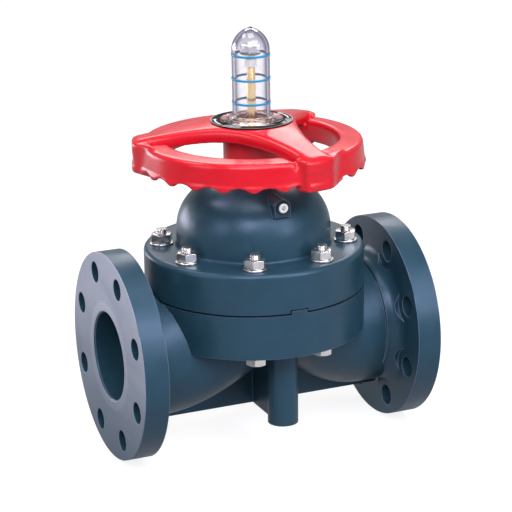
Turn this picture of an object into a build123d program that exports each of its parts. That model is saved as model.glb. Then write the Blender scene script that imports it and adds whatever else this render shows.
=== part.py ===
"""Flanged diaphragm valve, nominal 80 mm, worked by hand and standing fully open.

The origin is the centre of the inlet flange's joint face. +X runs along the flow and +Z up along the stem.
All lengths are millimetres and all angles are degrees.
"""
import os
from math import atan2, cos, degrees, radians, sin, sqrt, tan

from build123d import *

# Ports, necks and pipe flanges
port_diameter = 78.0
port_chamfer = 1.5
neck_wall = 16.0
neck_root_radius = 12.0
flange_thickness = 22.0
flange_hole_diameter = 19.0
flange_hole_count = 8
flange_hole_edge = 17.5
spot_face_diameter = 34.0
spot_face_clearance = 3.0
flange_to_bonnet = 20.0

# Body between the flanges
weir_height = 13.0
weir_width = 7.0
weir_wall = 9.0
weir_shell_height = 70.0
weir_opening_height = 44.0
waterway_shoulder_drop = 60.0
shell_shoulder_drop = 70.0
bowl_distance = 40.0
bowl_rise_height = 8.0
bowl_spread_width = 6.0
rib_thickness = 12.0
foot_below_neck = 8.5
pillar_diameter = 27.0
pillar_spacing = 120.0
support_insert_diameter = 20.0
support_insert_length = 36.0
support_thread_core_diameter = 10.2
core_pocket_wall = 10.0
core_pocket_deck = 12.0
core_pocket_seat_width = 5.0

# Joint between body and bonnet
seat_height = 49.0
joint_gap = 1.5
body_flange_thickness = 38.75
bonnet_flange_thickness = 36.25
bonnet_edge_radius = 4.5
key_width = 15.0
key_height = 3.5
key_depth = 7.0
key_clearance = 0.8

# Bonnet
dome_diameter = 137.0
dome_crown_radius = 43.0
dome_wall = 10.0
dome_root_radius = 2.5
bearing_housing_diameter = 72.0
bearing_housing_length = 32.0
bearing_housing_clearance = 6.65
guide_width = 8.0
guide_rib_thickness = 6.0
guide_rib_depth = 12.0
guide_clearance = 0.5

# Bonnet bolts, studs, nuts and washers
bonnet_bolt_count = 8
bolt_diameter = 10.0
bolt_hole_diameter = 11.0
bolt_hole_edge = 16.25
nut_flats = 17.0
nut_thickness = 8.0
bolt_head_thickness = 7.0
bolt_tip_height = 4.0
washer_diameter = 21.0
washer_thickness = 2.0
washer_clearance = 0.25
stud_insert_diameter = 14.0
stud_insert_length = 12.0

# Diaphragm, cushion and compressor
diaphragm_rim_thickness = 7.5
diaphragm_edge_clearance = 3.25
diaphragm_web_thickness = 6.0
diaphragm_rise_height = 10.05
cushion_thickness = 5.0
cushion_step_width = 4.0
compressor_edge_thickness = 4.0
compressor_clearance = 12.5
compressor_boss_diameter = 40.0
compressor_boss_height = 12.0
wing_clearance = 4.5
stud_diameter = 8.0
stud_head_diameter = 20.0
stud_head_thickness = 2.4
stud_grip_length = 14.0
pin_diameter = 8.0

# Stem, sleeve and bearing
stem_diameter = 20.0
stem_grip_length = 20.0
stem_length = 104.0
sleeve_wall = 5.7
sleeve_bottom_clearance = 2.5
collar_diameter = 52.0
collar_thickness = 8.0
thrust_ring_thickness = 3.0
retainer_diameter = 62.0
retainer_thickness = 6.5
retainer_slot_width = 5.0
retainer_slot_depth = 3.0
retainer_recess_depth = 1.0
o_ring_section_diameter = 2.1

# Handwheel
wheel_radius = 97.0
wheel_clearance = 6.0
rim_width = 21.0
rim_wall = 4.5
rim_inner_depth = 12.0
rim_fall_height = 1.5
rim_edge_radius = 2.0
skirt_depth = 25.5
skirt_flare_width = 2.0
skirt_bead_height = 5.3
skirt_bead_width = 0.6
scallop_count = 24
scallop_depth = 4.3
scallop_bump_share = 0.33
arm_count = 3
arm_direction = -79.0
arm_tip_reach = 8.0
arm_tip_width = 29.0
arm_root_width = 31.4
arm_root_radius = 50.0
arm_waist_radius = 39.5
arm_fall_height = 13.0
arm_thickness = 12.0
arm_edge_radius = 2.0
lug_depth = 1.5
lug_long_turn = 13.0
lug_short_turn = 3.0
hub_height = 47.0
hub_top_diameter = 74.0
hub_boss_diameter = 51.0
rim_below_hub_height = 14.0
drive_flats_width = 28.0
drive_clearance = 0.15
wheel_nut_flats_width = 36.0
wheel_nut_thickness = 6.0
wheel_nut_core_diameter = 26.0
hub_recess_diameter = 44.0
name_plate_outer_diameter = 72.0
name_plate_inner_diameter = 57.0
name_plate_thickness = 1.2

# Indicator and its clear cap
cap_diameter = 33.4
cap_wall = 2.6
cap_flange_diameter = 56.0
cap_flange_thickness = 2.5
cap_spigot_length = 4.2
cap_tip_height = 1.6
cap_head_clearance = 24.0
ring_height = 2.4
ring_proud_width = 0.8
cap_root_radius = 3.0
cap_o_ring_diameter = 49.0
indicator_diameter = 8.0
indicator_grip_length = 12.0
shut_mark_height = 17.0
rod_end_height = 1.5
indicator_nut_flats = 17.0
indicator_nut_thickness = 8.5
indicator_collar_diameter = 10.4
indicator_collar_length = 7.0
indicator_collar_drop = 4.0

# Grease nipple
nipple_reach = 65.0
nipple_above_collar = 0.5
nipple_boss_width = 15.0
nipple_boss_drop = 8.5
nipple_head_diameter = 10.0
nipple_head_thickness = 2.0
nipple_shank_diameter = 7.0
nipple_shank_length = 9.0
nipple_mouth_diameter = 3.6
nipple_ball_diameter = 3.2
nipple_seal_width = 1.0
grease_hole_diameter = 2.5

# Clearances
running_gap = 0.3
seat_gap = 0.3

# Widths and lengths that follow from the sizes above
port_radius = port_diameter / 2
neck_radius = port_radius + neck_wall
flange_pitch_circle = 2 * neck_radius + spot_face_diameter + 2 * spot_face_clearance
flange_diameter = flange_pitch_circle + 2 * flange_hole_edge
chamber_radius = dome_diameter / 2 - dome_wall
bonnet_bolt_circle = dome_diameter + 2 * dome_root_radius + washer_diameter + 2 * washer_clearance
bonnet_flange_diameter = bonnet_bolt_circle + 2 * bolt_hole_edge
diaphragm_diameter = bonnet_bolt_circle - bolt_hole_diameter - 2 * diaphragm_edge_clearance
compressor_radius = chamber_radius - compressor_clearance
cushion_radius = compressor_radius - cushion_step_width
guide_wing_radius = chamber_radius - wing_clearance
face_to_face = bonnet_flange_diameter + 2 * (flange_to_bonnet + flange_thickness)
half_length = face_to_face / 2
stem_x = half_length
foot_depth = neck_radius + foot_below_neck

# Levels that follow from the sizes above, up to the compressor
body_top = seat_height - joint_gap / 2
bonnet_bottom = seat_height + joint_gap / 2
body_flange_bottom = body_top - body_flange_thickness
bonnet_flange_top = bonnet_bottom + bonnet_flange_thickness
rim_recess_depth = (diaphragm_rim_thickness - joint_gap) / 2
diaphragm_floor = body_top - rim_recess_depth
diaphragm_roof = bonnet_bottom + rim_recess_depth
chamber_depth = diaphragm_floor - weir_height
chamber_sphere = (chamber_radius ** 2 + chamber_depth ** 2) / (2 * chamber_depth)
diaphragm_low_centre = diaphragm_floor + diaphragm_rise_height
stroke = diaphragm_low_centre - seat_gap - weir_height
cushion_bottom = diaphragm_low_centre + diaphragm_web_thickness + seat_gap
cushion_sphere = chamber_sphere - diaphragm_web_thickness - seat_gap
compressor_bottom = cushion_bottom + cushion_thickness
compressor_sphere = cushion_sphere - cushion_thickness
stem_axis = Axis((stem_x, 0, 0), (0, 0, 1))
flow_axis = Axis((0, 0, 0), (1, 0, 0))
stem_section = Plane(origin=(stem_x, 0, 0), x_dir=(1, 0, 0), z_dir=(0, -1, 0))


def height(level):
    """Horizontal plane whose origin is on the stem axis at this height."""
    return Plane(origin=(stem_x, 0, level))


def cross_section(distance):
    """Plane across the flow, at a distance from the stem axis; its x is the part's Y, its y the part's Z."""
    return Plane(origin=(stem_x + distance, 0, 0), x_dir=(0, 1, 0), z_dir=(1, 0, 0))


def cap_rise(sphere, radius):
    """How far a sphere's surface rises from its lowest point out to this radius."""
    return sphere - sqrt(sphere ** 2 - radius ** 2)


# Levels from the compressor up
compressor_edge_bottom = compressor_bottom + cap_rise(compressor_sphere, compressor_radius)
compressor_top = compressor_edge_bottom + compressor_edge_thickness
compressor_boss_top = compressor_top + compressor_boss_height
stem_bottom = compressor_boss_top - stem_grip_length
stem_top = stem_bottom + stem_length
sleeve_bottom = compressor_boss_top + sleeve_bottom_clearance
sleeve_bore = stem_diameter / 2 + running_gap
sleeve_radius = sleeve_bore + sleeve_wall
bearing_housing_bottom = compressor_boss_top + bearing_housing_clearance
dome_top = bearing_housing_bottom + bearing_housing_length
retainer_top = dome_top - retainer_recess_depth
retainer_bottom = retainer_top - retainer_thickness
collar_top = retainer_bottom - thrust_ring_thickness
collar_bottom = collar_top - collar_thickness
thrust_seat_height = collar_bottom - thrust_ring_thickness
nipple_height = collar_top + nipple_above_collar
hub_bottom = dome_top + wheel_clearance
hub_top = hub_bottom + hub_height
rim_top = hub_top - rim_below_hub_height
rim_edge = rim_top - rim_fall_height
skirt_bottom = rim_top - skirt_depth
skirt_bead_top = skirt_bottom + skirt_bead_height
lug_bottom = skirt_bottom - lug_depth
arm_tip_top = hub_top - arm_fall_height
wheel_nut_top = hub_top - cap_spigot_length - running_gap
wheel_nut_bottom = wheel_nut_top - wheel_nut_thickness
open_mark_height = hub_top + shut_mark_height + stroke
cap_top = open_mark_height + cap_head_clearance

# Radii of the handwheel and the cap, and the places of the bonnet bolts
rim_inner_radius = wheel_radius - rim_width
skirt_radius = wheel_radius + skirt_flare_width
arm_tip_radius = wheel_radius + arm_tip_reach
cap_radius = cap_diameter / 2
bolt_angles = [360 / bonnet_bolt_count * (step + 0.5) for step in range(bonnet_bolt_count)]
beside_neck = [angle for angle in bolt_angles if abs(cos(radians(angle))) > abs(sin(radians(angle)))]
clear_of_neck = [angle for angle in bolt_angles if angle not in beside_neck]


def bolt_spots(angles):
    """Points on the bonnet's bolt circle at these angles."""
    radius = bonnet_bolt_circle / 2
    return [(radius * cos(radians(angle)), radius * sin(radians(angle))) for angle in angles]


# Sections of the body's shell and of its waterway, from a flange to the weir:
# distance from the stem axis, height of the centre, half width, half height
shell_shoulder = half_length - shell_shoulder_drop
waterway_shoulder = half_length - waterway_shoulder_drop
weir_shell_width = chamber_radius + weir_wall
weir_opening_half = weir_opening_height / 2
shell_sections = [
    (half_length - flange_thickness / 2, 0, neck_radius, neck_radius),
    (shell_shoulder, 0, neck_radius, neck_radius),
    (bowl_distance, bowl_rise_height, neck_radius + bowl_spread_width, neck_radius - bowl_spread_width),
    (weir_width, weir_height + weir_wall, weir_shell_width, weir_shell_height / 2),
]
waterway_sections = [
    (waterway_shoulder, 0, port_radius, port_radius),
    (bowl_distance, bowl_rise_height, port_radius + bowl_spread_width, port_radius - bowl_spread_width),
    (weir_width / 2, weir_height + weir_opening_half, chamber_radius - bowl_spread_width, weir_opening_half),
]

with BuildPart() as valve_body:
    # Two shells that widen and rise from the necks to the weir
    for side in (-1, 1):
        for distance, level, half_width, half_height in shell_sections:
            with BuildSketch(cross_section(side * distance)):
                with Locations((0, level)):
                    Ellipse(half_width, half_height)
        loft()
    # The bonnet flange's lower half
    with BuildSketch(height(body_flange_bottom)):
        Circle(bonnet_flange_diameter / 2)
    extrude(amount=body_flange_thickness)
    # Web along the flow, cross web and the two support pillars
    with BuildSketch(height(-foot_depth)):
        Rectangle(face_to_face - flange_thickness, rib_thickness)
        Rectangle(rib_thickness, pillar_spacing)
        with Locations((0, -pillar_spacing / 2), (0, pillar_spacing / 2)):
            Circle(pillar_diameter / 2)
    extrude(amount=foot_depth + body_flange_bottom + rib_thickness / 2)
    # Pipe flanges with the hollow root of each neck
    hollow = neck_root_radius * (1 - cos(radians(45)))
    for end in (0, face_to_face):
        inward = 1 if end == 0 else -1
        root = end + inward * flange_thickness
        with BuildSketch(Plane.XZ):
            with BuildLine():
                Polyline(
                    (end, 0),
                    (end, flange_diameter / 2),
                    (root, flange_diameter / 2),
                    (root, neck_radius + neck_root_radius),
                )
                ThreePointArc(
                    (root, neck_radius + neck_root_radius),
                    (root + inward * hollow, neck_radius + hollow),
                    (root + inward * neck_root_radius, neck_radius),
                )
                Polyline(
                    (root + inward * neck_root_radius, neck_radius),
                    (root + inward * neck_root_radius, 0),
                    (end, 0),
                )
            make_face()
        revolve(axis=flow_axis)
    # Room for the bonnet above the joint
    with BuildSketch(height(body_top)):
        Circle(bonnet_flange_diameter / 2 + joint_gap)
    extrude(amount=neck_radius, mode=Mode.SUBTRACT)
    # Key that fits the bonnet's notch
    with BuildSketch(height(body_top)):
        with Locations((0, -(bonnet_flange_diameter - key_depth) / 2)):
            Rectangle(key_width, key_depth)
    extrude(amount=key_height)
    # Waterway on both sides of the weir, and the bowl that the diaphragm closes
    for side in (-1, 1):
        for distance, level, half_width, half_height in waterway_sections:
            with BuildSketch(cross_section(side * distance)):
                with Locations((0, level)):
                    Ellipse(half_width, half_height)
        loft(mode=Mode.SUBTRACT)
    for end in (0, face_to_face):
        inward = 1 if end == 0 else -1
        with BuildSketch(Plane.XZ):
            Polygon(
                (end, 0),
                (end, port_radius + port_chamfer),
                (end + inward * port_chamfer, port_radius),
                (stem_x - inward * waterway_shoulder, port_radius),
                (stem_x - inward * waterway_shoulder, 0),
                align=None,
            )
        revolve(axis=flow_axis, mode=Mode.SUBTRACT)
    with Locations((stem_x, 0, weir_height + chamber_sphere)):
        Sphere(chamber_sphere, mode=Mode.SUBTRACT)
    with BuildSketch(height(diaphragm_floor)):
        Circle(diaphragm_diameter / 2 + seat_gap)
    extrude(amount=diaphragm_rim_thickness, mode=Mode.SUBTRACT)
    # Two core pockets that keep the wall of the thick flange even, between the bolts above the pillars
    pocket_width = bonnet_bolt_circle * sin(radians(180 / bonnet_bolt_count))
    pocket_width -= washer_diameter + 2 * core_pocket_seat_width
    pocket_outside = bonnet_flange_diameter / 2 - core_pocket_wall
    with BuildSketch(height(body_flange_bottom)):
        for across in (-1, 1):
            with Locations((0, across * (weir_shell_width + pocket_outside) / 2)):
                Rectangle(pocket_width, pocket_outside - weir_shell_width)
    extrude(amount=body_flange_thickness - core_pocket_deck, mode=Mode.SUBTRACT)
    # Holes and spot faces of the pipe flanges
    for end in (0, face_to_face):
        inward = 1 if end == 0 else -1
        with BuildSketch(Plane(origin=(end, 0, 0), x_dir=(0, 1, 0), z_dir=(inward, 0, 0))):
            with PolarLocations(flange_pitch_circle / 2, flange_hole_count, 180 / flange_hole_count):
                Circle(flange_hole_diameter / 2)
        extrude(amount=flange_thickness, mode=Mode.SUBTRACT)
        spot_plane = Plane(
            origin=(end + inward * flange_thickness, 0, 0), x_dir=(0, 1, 0), z_dir=(inward, 0, 0)
        )
        with BuildSketch(spot_plane):
            with PolarLocations(flange_pitch_circle / 2, flange_hole_count, 180 / flange_hole_count):
                Circle(spot_face_diameter / 2)
        extrude(amount=neck_root_radius, mode=Mode.SUBTRACT)
    # Holes of the bonnet bolts, sockets of the stud inserts and of the support inserts
    with BuildSketch(height(body_flange_bottom)):
        with Locations(*bolt_spots(clear_of_neck)):
            Circle(bolt_hole_diameter / 2)
    extrude(amount=body_flange_thickness, mode=Mode.SUBTRACT)
    with BuildSketch(height(body_top)):
        with Locations(*bolt_spots(beside_neck)):
            Circle(stud_insert_diameter / 2)
    extrude(amount=-stud_insert_length, mode=Mode.SUBTRACT)
    with BuildSketch(height(-foot_depth)):
        with Locations((0, -pillar_spacing / 2), (0, pillar_spacing / 2)):
            Circle(support_insert_diameter / 2)
    extrude(amount=support_insert_length, mode=Mode.SUBTRACT)

with BuildPart() as support_inserts:
    with BuildSketch(height(-foot_depth)):
        with Locations((0, -pillar_spacing / 2), (0, pillar_spacing / 2)):
            Circle(support_insert_diameter / 2)
            Circle(support_thread_core_diameter / 2, mode=Mode.SUBTRACT)
    extrude(amount=support_insert_length)

with BuildPart() as stud_inserts:
    with BuildSketch(height(body_top)):
        with Locations(*bolt_spots(beside_neck)):
            Circle(stud_insert_diameter / 2)
            Circle(bolt_diameter / 2, mode=Mode.SUBTRACT)
    extrude(amount=-stud_insert_length)

with BuildPart() as bonnet:
    with BuildSketch(height(bonnet_bottom)):
        Circle(bonnet_flange_diameter / 2)
    extrude(amount=bonnet_flange_thickness)
    fillet(bonnet.edges().group_by(Axis.Z)[-1], bonnet_edge_radius)
    # Dome with its rounded crown
    with BuildSketch(stem_section):
        with BuildLine():
            Polyline(
                (0, dome_top),
                (0, bonnet_bottom),
                (dome_diameter / 2, bonnet_bottom),
                (dome_diameter / 2, dome_top - dome_crown_radius),
            )
            RadiusArc(
                (dome_diameter / 2, dome_top - dome_crown_radius),
                (dome_diameter / 2 - dome_crown_radius, dome_top),
                -dome_crown_radius,
            )
            Line((dome_diameter / 2 - dome_crown_radius, dome_top), (0, dome_top))
        make_face()
    revolve(axis=stem_axis)
    dome_foot = bonnet.edges().filter_by(GeomType.CIRCLE).filter_by(
        lambda edge: abs(edge.radius - dome_diameter / 2) + abs(edge.arc_center.Z - bonnet_flange_top) < 0.01
    )
    fillet(dome_foot, dome_root_radius)
    # Boss of the grease nipple: an arch with a flat bottom
    with BuildSketch(Plane(origin=(stem_x, 0, nipple_height), x_dir=(1, 0, 0), z_dir=(0, -1, 0))):
        Circle(nipple_boss_width / 2)
        with Locations((0, -nipple_boss_drop / 2)):
            Rectangle(nipple_boss_width, nipple_boss_drop)
    extrude(amount=nipple_reach)
    # Hollow round the bearing housing
    inner_crown = dome_crown_radius - dome_wall
    housing_radius = bearing_housing_diameter / 2
    crown_centre = dome_diameter / 2 - dome_crown_radius
    crown_rise = sqrt(inner_crown ** 2 - (housing_radius - crown_centre) ** 2)
    housing_top = dome_top - dome_crown_radius + crown_rise
    with BuildSketch(stem_section):
        with BuildLine():
            Polyline(
                (0, bearing_housing_bottom),
                (0, bonnet_bottom),
                (chamber_radius, bonnet_bottom),
                (chamber_radius, dome_top - dome_crown_radius),
            )
            RadiusArc(
                (chamber_radius, dome_top - dome_crown_radius),
                (housing_radius, housing_top),
                -inner_crown,
            )
            Polyline(
                (housing_radius, housing_top),
                (housing_radius, bearing_housing_bottom),
                (0, bearing_housing_bottom),
            )
        make_face()
    revolve(axis=stem_axis, mode=Mode.SUBTRACT)
    # Guide ribs for the compressor's wings
    rib_bottom = diaphragm_low_centre + diaphragm_web_thickness
    rib_reach = chamber_radius + dome_wall / 2
    rib_place = guide_width / 2 + guide_clearance + guide_rib_thickness / 2
    with BuildSketch(height(rib_bottom)):
        for across in (-rib_place, rib_place):
            for along in (-1, 1):
                with Locations((across, along * (rib_reach - guide_rib_depth / 2))):
                    Rectangle(guide_rib_thickness, guide_rib_depth)
    extrude(amount=bearing_housing_bottom - rib_bottom)
    # Bearing bores, from the cavity up
    with BuildSketch(height(bearing_housing_bottom)):
        Circle(sleeve_radius + running_gap)
    extrude(amount=dome_top - bearing_housing_bottom, mode=Mode.SUBTRACT)
    with BuildSketch(height(thrust_seat_height)):
        Circle(collar_diameter / 2 + running_gap)
    extrude(amount=dome_top - thrust_seat_height, mode=Mode.SUBTRACT)
    with BuildSketch(height(retainer_bottom)):
        Circle(retainer_diameter / 2)
    extrude(amount=dome_top - retainer_bottom, mode=Mode.SUBTRACT)
    # Recess of the diaphragm's rim, bolt holes and the notch for the key
    with BuildSketch(height(bonnet_bottom)):
        Circle(diaphragm_diameter / 2 + seat_gap)
    extrude(amount=rim_recess_depth, mode=Mode.SUBTRACT)
    with BuildSketch(height(bonnet_bottom)):
        with Locations(*bolt_spots(bolt_angles)):
            Circle(bolt_hole_diameter / 2)
    extrude(amount=bonnet_flange_thickness, mode=Mode.SUBTRACT)
    with BuildSketch(height(bonnet_bottom)):
        with Locations((0, -(bonnet_flange_diameter - key_depth) / 2)):
            Rectangle(key_width + 2 * key_clearance, key_depth + 2 * key_clearance)
    extrude(amount=key_height + key_clearance - joint_gap, mode=Mode.SUBTRACT)
    # Seat of the grease nipple and its drilled way to the thrust rings
    with BuildSketch(Plane(origin=(stem_x, -nipple_reach, nipple_height), x_dir=(1, 0, 0), z_dir=(0, 1, 0))):
        Circle(nipple_shank_diameter / 2)
    extrude(amount=nipple_shank_length, mode=Mode.SUBTRACT)
    with BuildSketch(Plane(origin=(stem_x, -nipple_reach, nipple_height), x_dir=(1, 0, 0), z_dir=(0, 1, 0))):
        Circle(grease_hole_diameter / 2)
    extrude(amount=nipple_reach - collar_diameter / 2, mode=Mode.SUBTRACT)

with BuildPart() as diaphragm:
    half_rim = diaphragm_diameter / 2
    low_sphere = (chamber_radius ** 2 + (diaphragm_low_centre - diaphragm_floor) ** 2) / (
        2 * (diaphragm_low_centre - diaphragm_floor)
    )
    with BuildSketch(stem_section):
        with BuildLine():
            RadiusArc((0, diaphragm_low_centre), (chamber_radius, diaphragm_floor), low_sphere)
            Polyline(
                (chamber_radius, diaphragm_floor),
                (half_rim, diaphragm_floor),
                (half_rim, diaphragm_roof),
                (chamber_radius, diaphragm_roof),
            )
            RadiusArc(
                (chamber_radius, diaphragm_roof),
                (0, diaphragm_low_centre + diaphragm_web_thickness),
                -low_sphere,
            )
            Line((0, diaphragm_low_centre + diaphragm_web_thickness), (0, diaphragm_low_centre))
        make_face()
    revolve(axis=stem_axis)
    # Pocket of the stud's head and neck
    pocket_bottom = diaphragm_low_centre + (diaphragm_web_thickness - stud_head_thickness) / 2 - seat_gap
    with BuildSketch(height(pocket_bottom)):
        Circle(stud_head_diameter / 2 + seat_gap)
    extrude(amount=stud_head_thickness + 2 * seat_gap, mode=Mode.SUBTRACT)
    with BuildSketch(height(pocket_bottom)):
        Circle(stud_diameter / 2 + seat_gap)
    extrude(amount=diaphragm_web_thickness, mode=Mode.SUBTRACT)

with BuildPart() as diaphragm_stud:
    with BuildSketch(height(pocket_bottom + seat_gap)):
        Circle(stud_head_diameter / 2)
    extrude(amount=stud_head_thickness)
    with BuildSketch(height(pocket_bottom + seat_gap)):
        Circle(stud_diameter / 2)
    extrude(amount=compressor_bottom + stud_grip_length - pocket_bottom - seat_gap)

with BuildPart() as cushion:
    with BuildSketch(stem_section):
        with BuildLine():
            RadiusArc(
                (0, cushion_bottom),
                (cushion_radius, cushion_bottom + cap_rise(cushion_sphere, cushion_radius)),
                -cushion_sphere,
            )
            Line(
                (cushion_radius, cushion_bottom + cap_rise(cushion_sphere, cushion_radius)),
                (cushion_radius, compressor_bottom + cap_rise(compressor_sphere, cushion_radius)),
            )
            RadiusArc(
                (cushion_radius, compressor_bottom + cap_rise(compressor_sphere, cushion_radius)),
                (0, compressor_bottom),
                compressor_sphere,
            )
            Line((0, compressor_bottom), (0, cushion_bottom))
        make_face()
    revolve(axis=stem_axis)
    with BuildSketch(height(cushion_bottom)):
        Circle(stud_diameter / 2)
    extrude(amount=stud_grip_length, mode=Mode.SUBTRACT)

with BuildPart() as compressor:
    with BuildSketch(stem_section):
        with BuildLine():
            compressor_edge = (compressor_radius, compressor_edge_bottom)
            RadiusArc((0, compressor_bottom), compressor_edge, -compressor_sphere)
            Polyline(
                compressor_edge,
                (compressor_radius, compressor_top),
                (0, compressor_top),
                (0, compressor_bottom),
            )
        make_face()
    revolve(axis=stem_axis)
    # Boss for the stem, and two wings that run between the bonnet's guide ribs
    with BuildSketch(height(compressor_edge_bottom)):
        Circle(compressor_boss_diameter / 2)
        Rectangle(guide_width, 2 * guide_wing_radius)
    extrude(amount=compressor_boss_top - compressor_edge_bottom)
    with BuildSketch(height(stem_bottom)):
        Circle(stem_diameter / 2)
    extrude(amount=stem_grip_length, mode=Mode.SUBTRACT)
    with BuildSketch(height(compressor_bottom)):
        Circle(stud_diameter / 2)
    extrude(amount=stud_grip_length, mode=Mode.SUBTRACT)
    pin_height = compressor_boss_top - compressor_boss_height / 2
    with BuildSketch(Plane.YZ.offset(stem_x - compressor_boss_diameter / 2)):
        with Locations((0, pin_height)):
            Circle(pin_diameter / 2)
    extrude(amount=compressor_boss_diameter, mode=Mode.SUBTRACT)

with BuildPart() as compressor_pin:
    with BuildSketch(Plane.YZ.offset(stem_x - compressor_boss_diameter / 2)):
        with Locations((0, pin_height)):
            Circle(pin_diameter / 2)
    extrude(amount=compressor_boss_diameter)

with BuildPart() as stem:
    with BuildSketch(height(stem_bottom)):
        Circle(stem_diameter / 2)
    extrude(amount=stem_length)
    with BuildSketch(Plane.YZ.offset(stem_x - stem_diameter / 2)):
        with Locations((0, pin_height)):
            Circle(pin_diameter / 2)
    extrude(amount=stem_diameter, mode=Mode.SUBTRACT)
    with BuildSketch(height(stem_top - indicator_grip_length)):
        Circle(indicator_diameter / 2)
    extrude(amount=indicator_grip_length, mode=Mode.SUBTRACT)

with BuildPart() as stem_sleeve:
    with BuildSketch(height(sleeve_bottom)):
        Circle(sleeve_radius)
    extrude(amount=hub_bottom - sleeve_bottom)
    with BuildSketch(height(collar_bottom)):
        Circle(collar_diameter / 2)
    extrude(amount=collar_thickness)
    # Hexagonal seat of the handwheel, then the thread of the wheel nut
    with BuildSketch(height(hub_bottom)):
        RegularPolygon(drive_flats_width / 2, 6, major_radius=False)
    extrude(amount=wheel_nut_bottom - hub_bottom)
    with BuildSketch(height(wheel_nut_bottom)):
        Circle(wheel_nut_core_diameter / 2)
    extrude(amount=wheel_nut_thickness)
    with BuildSketch(height(sleeve_bottom)):
        Circle(sleeve_bore)
    extrude(amount=wheel_nut_top - sleeve_bottom, mode=Mode.SUBTRACT)
    # Groove of the O-ring
    groove_height = (bearing_housing_bottom + thrust_seat_height) / 2
    o_ring_radius = o_ring_section_diameter / 2
    with BuildSketch(height(groove_height - o_ring_radius)):
        Circle(sleeve_radius)
        Circle(sleeve_radius - o_ring_section_diameter, mode=Mode.SUBTRACT)
    extrude(amount=o_ring_section_diameter, mode=Mode.SUBTRACT)

with BuildPart() as stem_o_ring:
    with BuildSketch(stem_section):
        with Locations((sleeve_radius - o_ring_radius, groove_height)):
            Circle(o_ring_radius)
    revolve(axis=stem_axis)

with BuildPart() as lower_thrust_ring:
    with BuildSketch(height(thrust_seat_height)):
        Circle(collar_diameter / 2)
        Circle(sleeve_radius + running_gap, mode=Mode.SUBTRACT)
    extrude(amount=thrust_ring_thickness)

with BuildPart() as upper_thrust_ring:
    with BuildSketch(height(collar_top)):
        Circle(collar_diameter / 2)
        Circle(sleeve_radius + running_gap, mode=Mode.SUBTRACT)
    extrude(amount=thrust_ring_thickness)

with BuildPart() as sleeve_retainer:
    with BuildSketch(height(retainer_bottom)):
        Circle(retainer_diameter / 2)
        Circle(sleeve_radius + running_gap, mode=Mode.SUBTRACT)
    extrude(amount=retainer_thickness)
    with BuildSketch(height(retainer_bottom + retainer_thickness)):
        Rectangle(retainer_diameter, retainer_slot_width)
        Rectangle(retainer_slot_width, retainer_diameter)
    extrude(amount=-retainer_slot_depth, mode=Mode.SUBTRACT)

with BuildPart() as wheel_arms:
    # Shallow cone from the hub to the arm tips, cut to a star with hollow sides and wider arm tips
    with BuildSketch(stem_section):
        with BuildLine():
            Polyline(
                (0, hub_top),
                (hub_top_diameter / 2, hub_top),
                (arm_tip_radius, arm_tip_top),
                (arm_tip_radius, arm_tip_top - arm_thickness),
                (hub_top_diameter / 2, hub_top - arm_thickness),
                (0, hub_top - arm_thickness),
                close=True,
            )
        make_face()
    revolve(axis=stem_axis)
    arm_step = 360 / arm_count
    half_step = radians(arm_step / 2)
    tip_reach = arm_tip_radius + arm_edge_radius
    root_reach = (arm_waist_radius - arm_root_width / 2 * sin(half_step)) / cos(half_step)
    with BuildSketch(height(arm_tip_top - arm_thickness)) as star:
        with BuildLine():
            corners = [
                Vector(along, across).rotate(Axis.Z, arm_direction + step * arm_step)
                for step in range(arm_count)
                for along, across in (
                    (root_reach, -arm_root_width / 2),
                    (tip_reach, -arm_tip_width / 2),
                    (tip_reach, arm_tip_width / 2),
                    (root_reach, arm_root_width / 2),
                )
            ]
            Polyline(*corners, close=True)
        make_face()
        roots = star.vertices().sort_by_distance((0, 0))
        fillet(roots[: 2 * arm_count], arm_root_radius)
    extrude(amount=hub_top - arm_tip_top + arm_thickness, mode=Mode.INTERSECT)
    arm_tops = wheel_arms.faces().filter_by(GeomType.CONE).sort_by(Axis.Z)[-1]
    fillet(arm_tops.outer_wire().edges(), arm_edge_radius)

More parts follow.
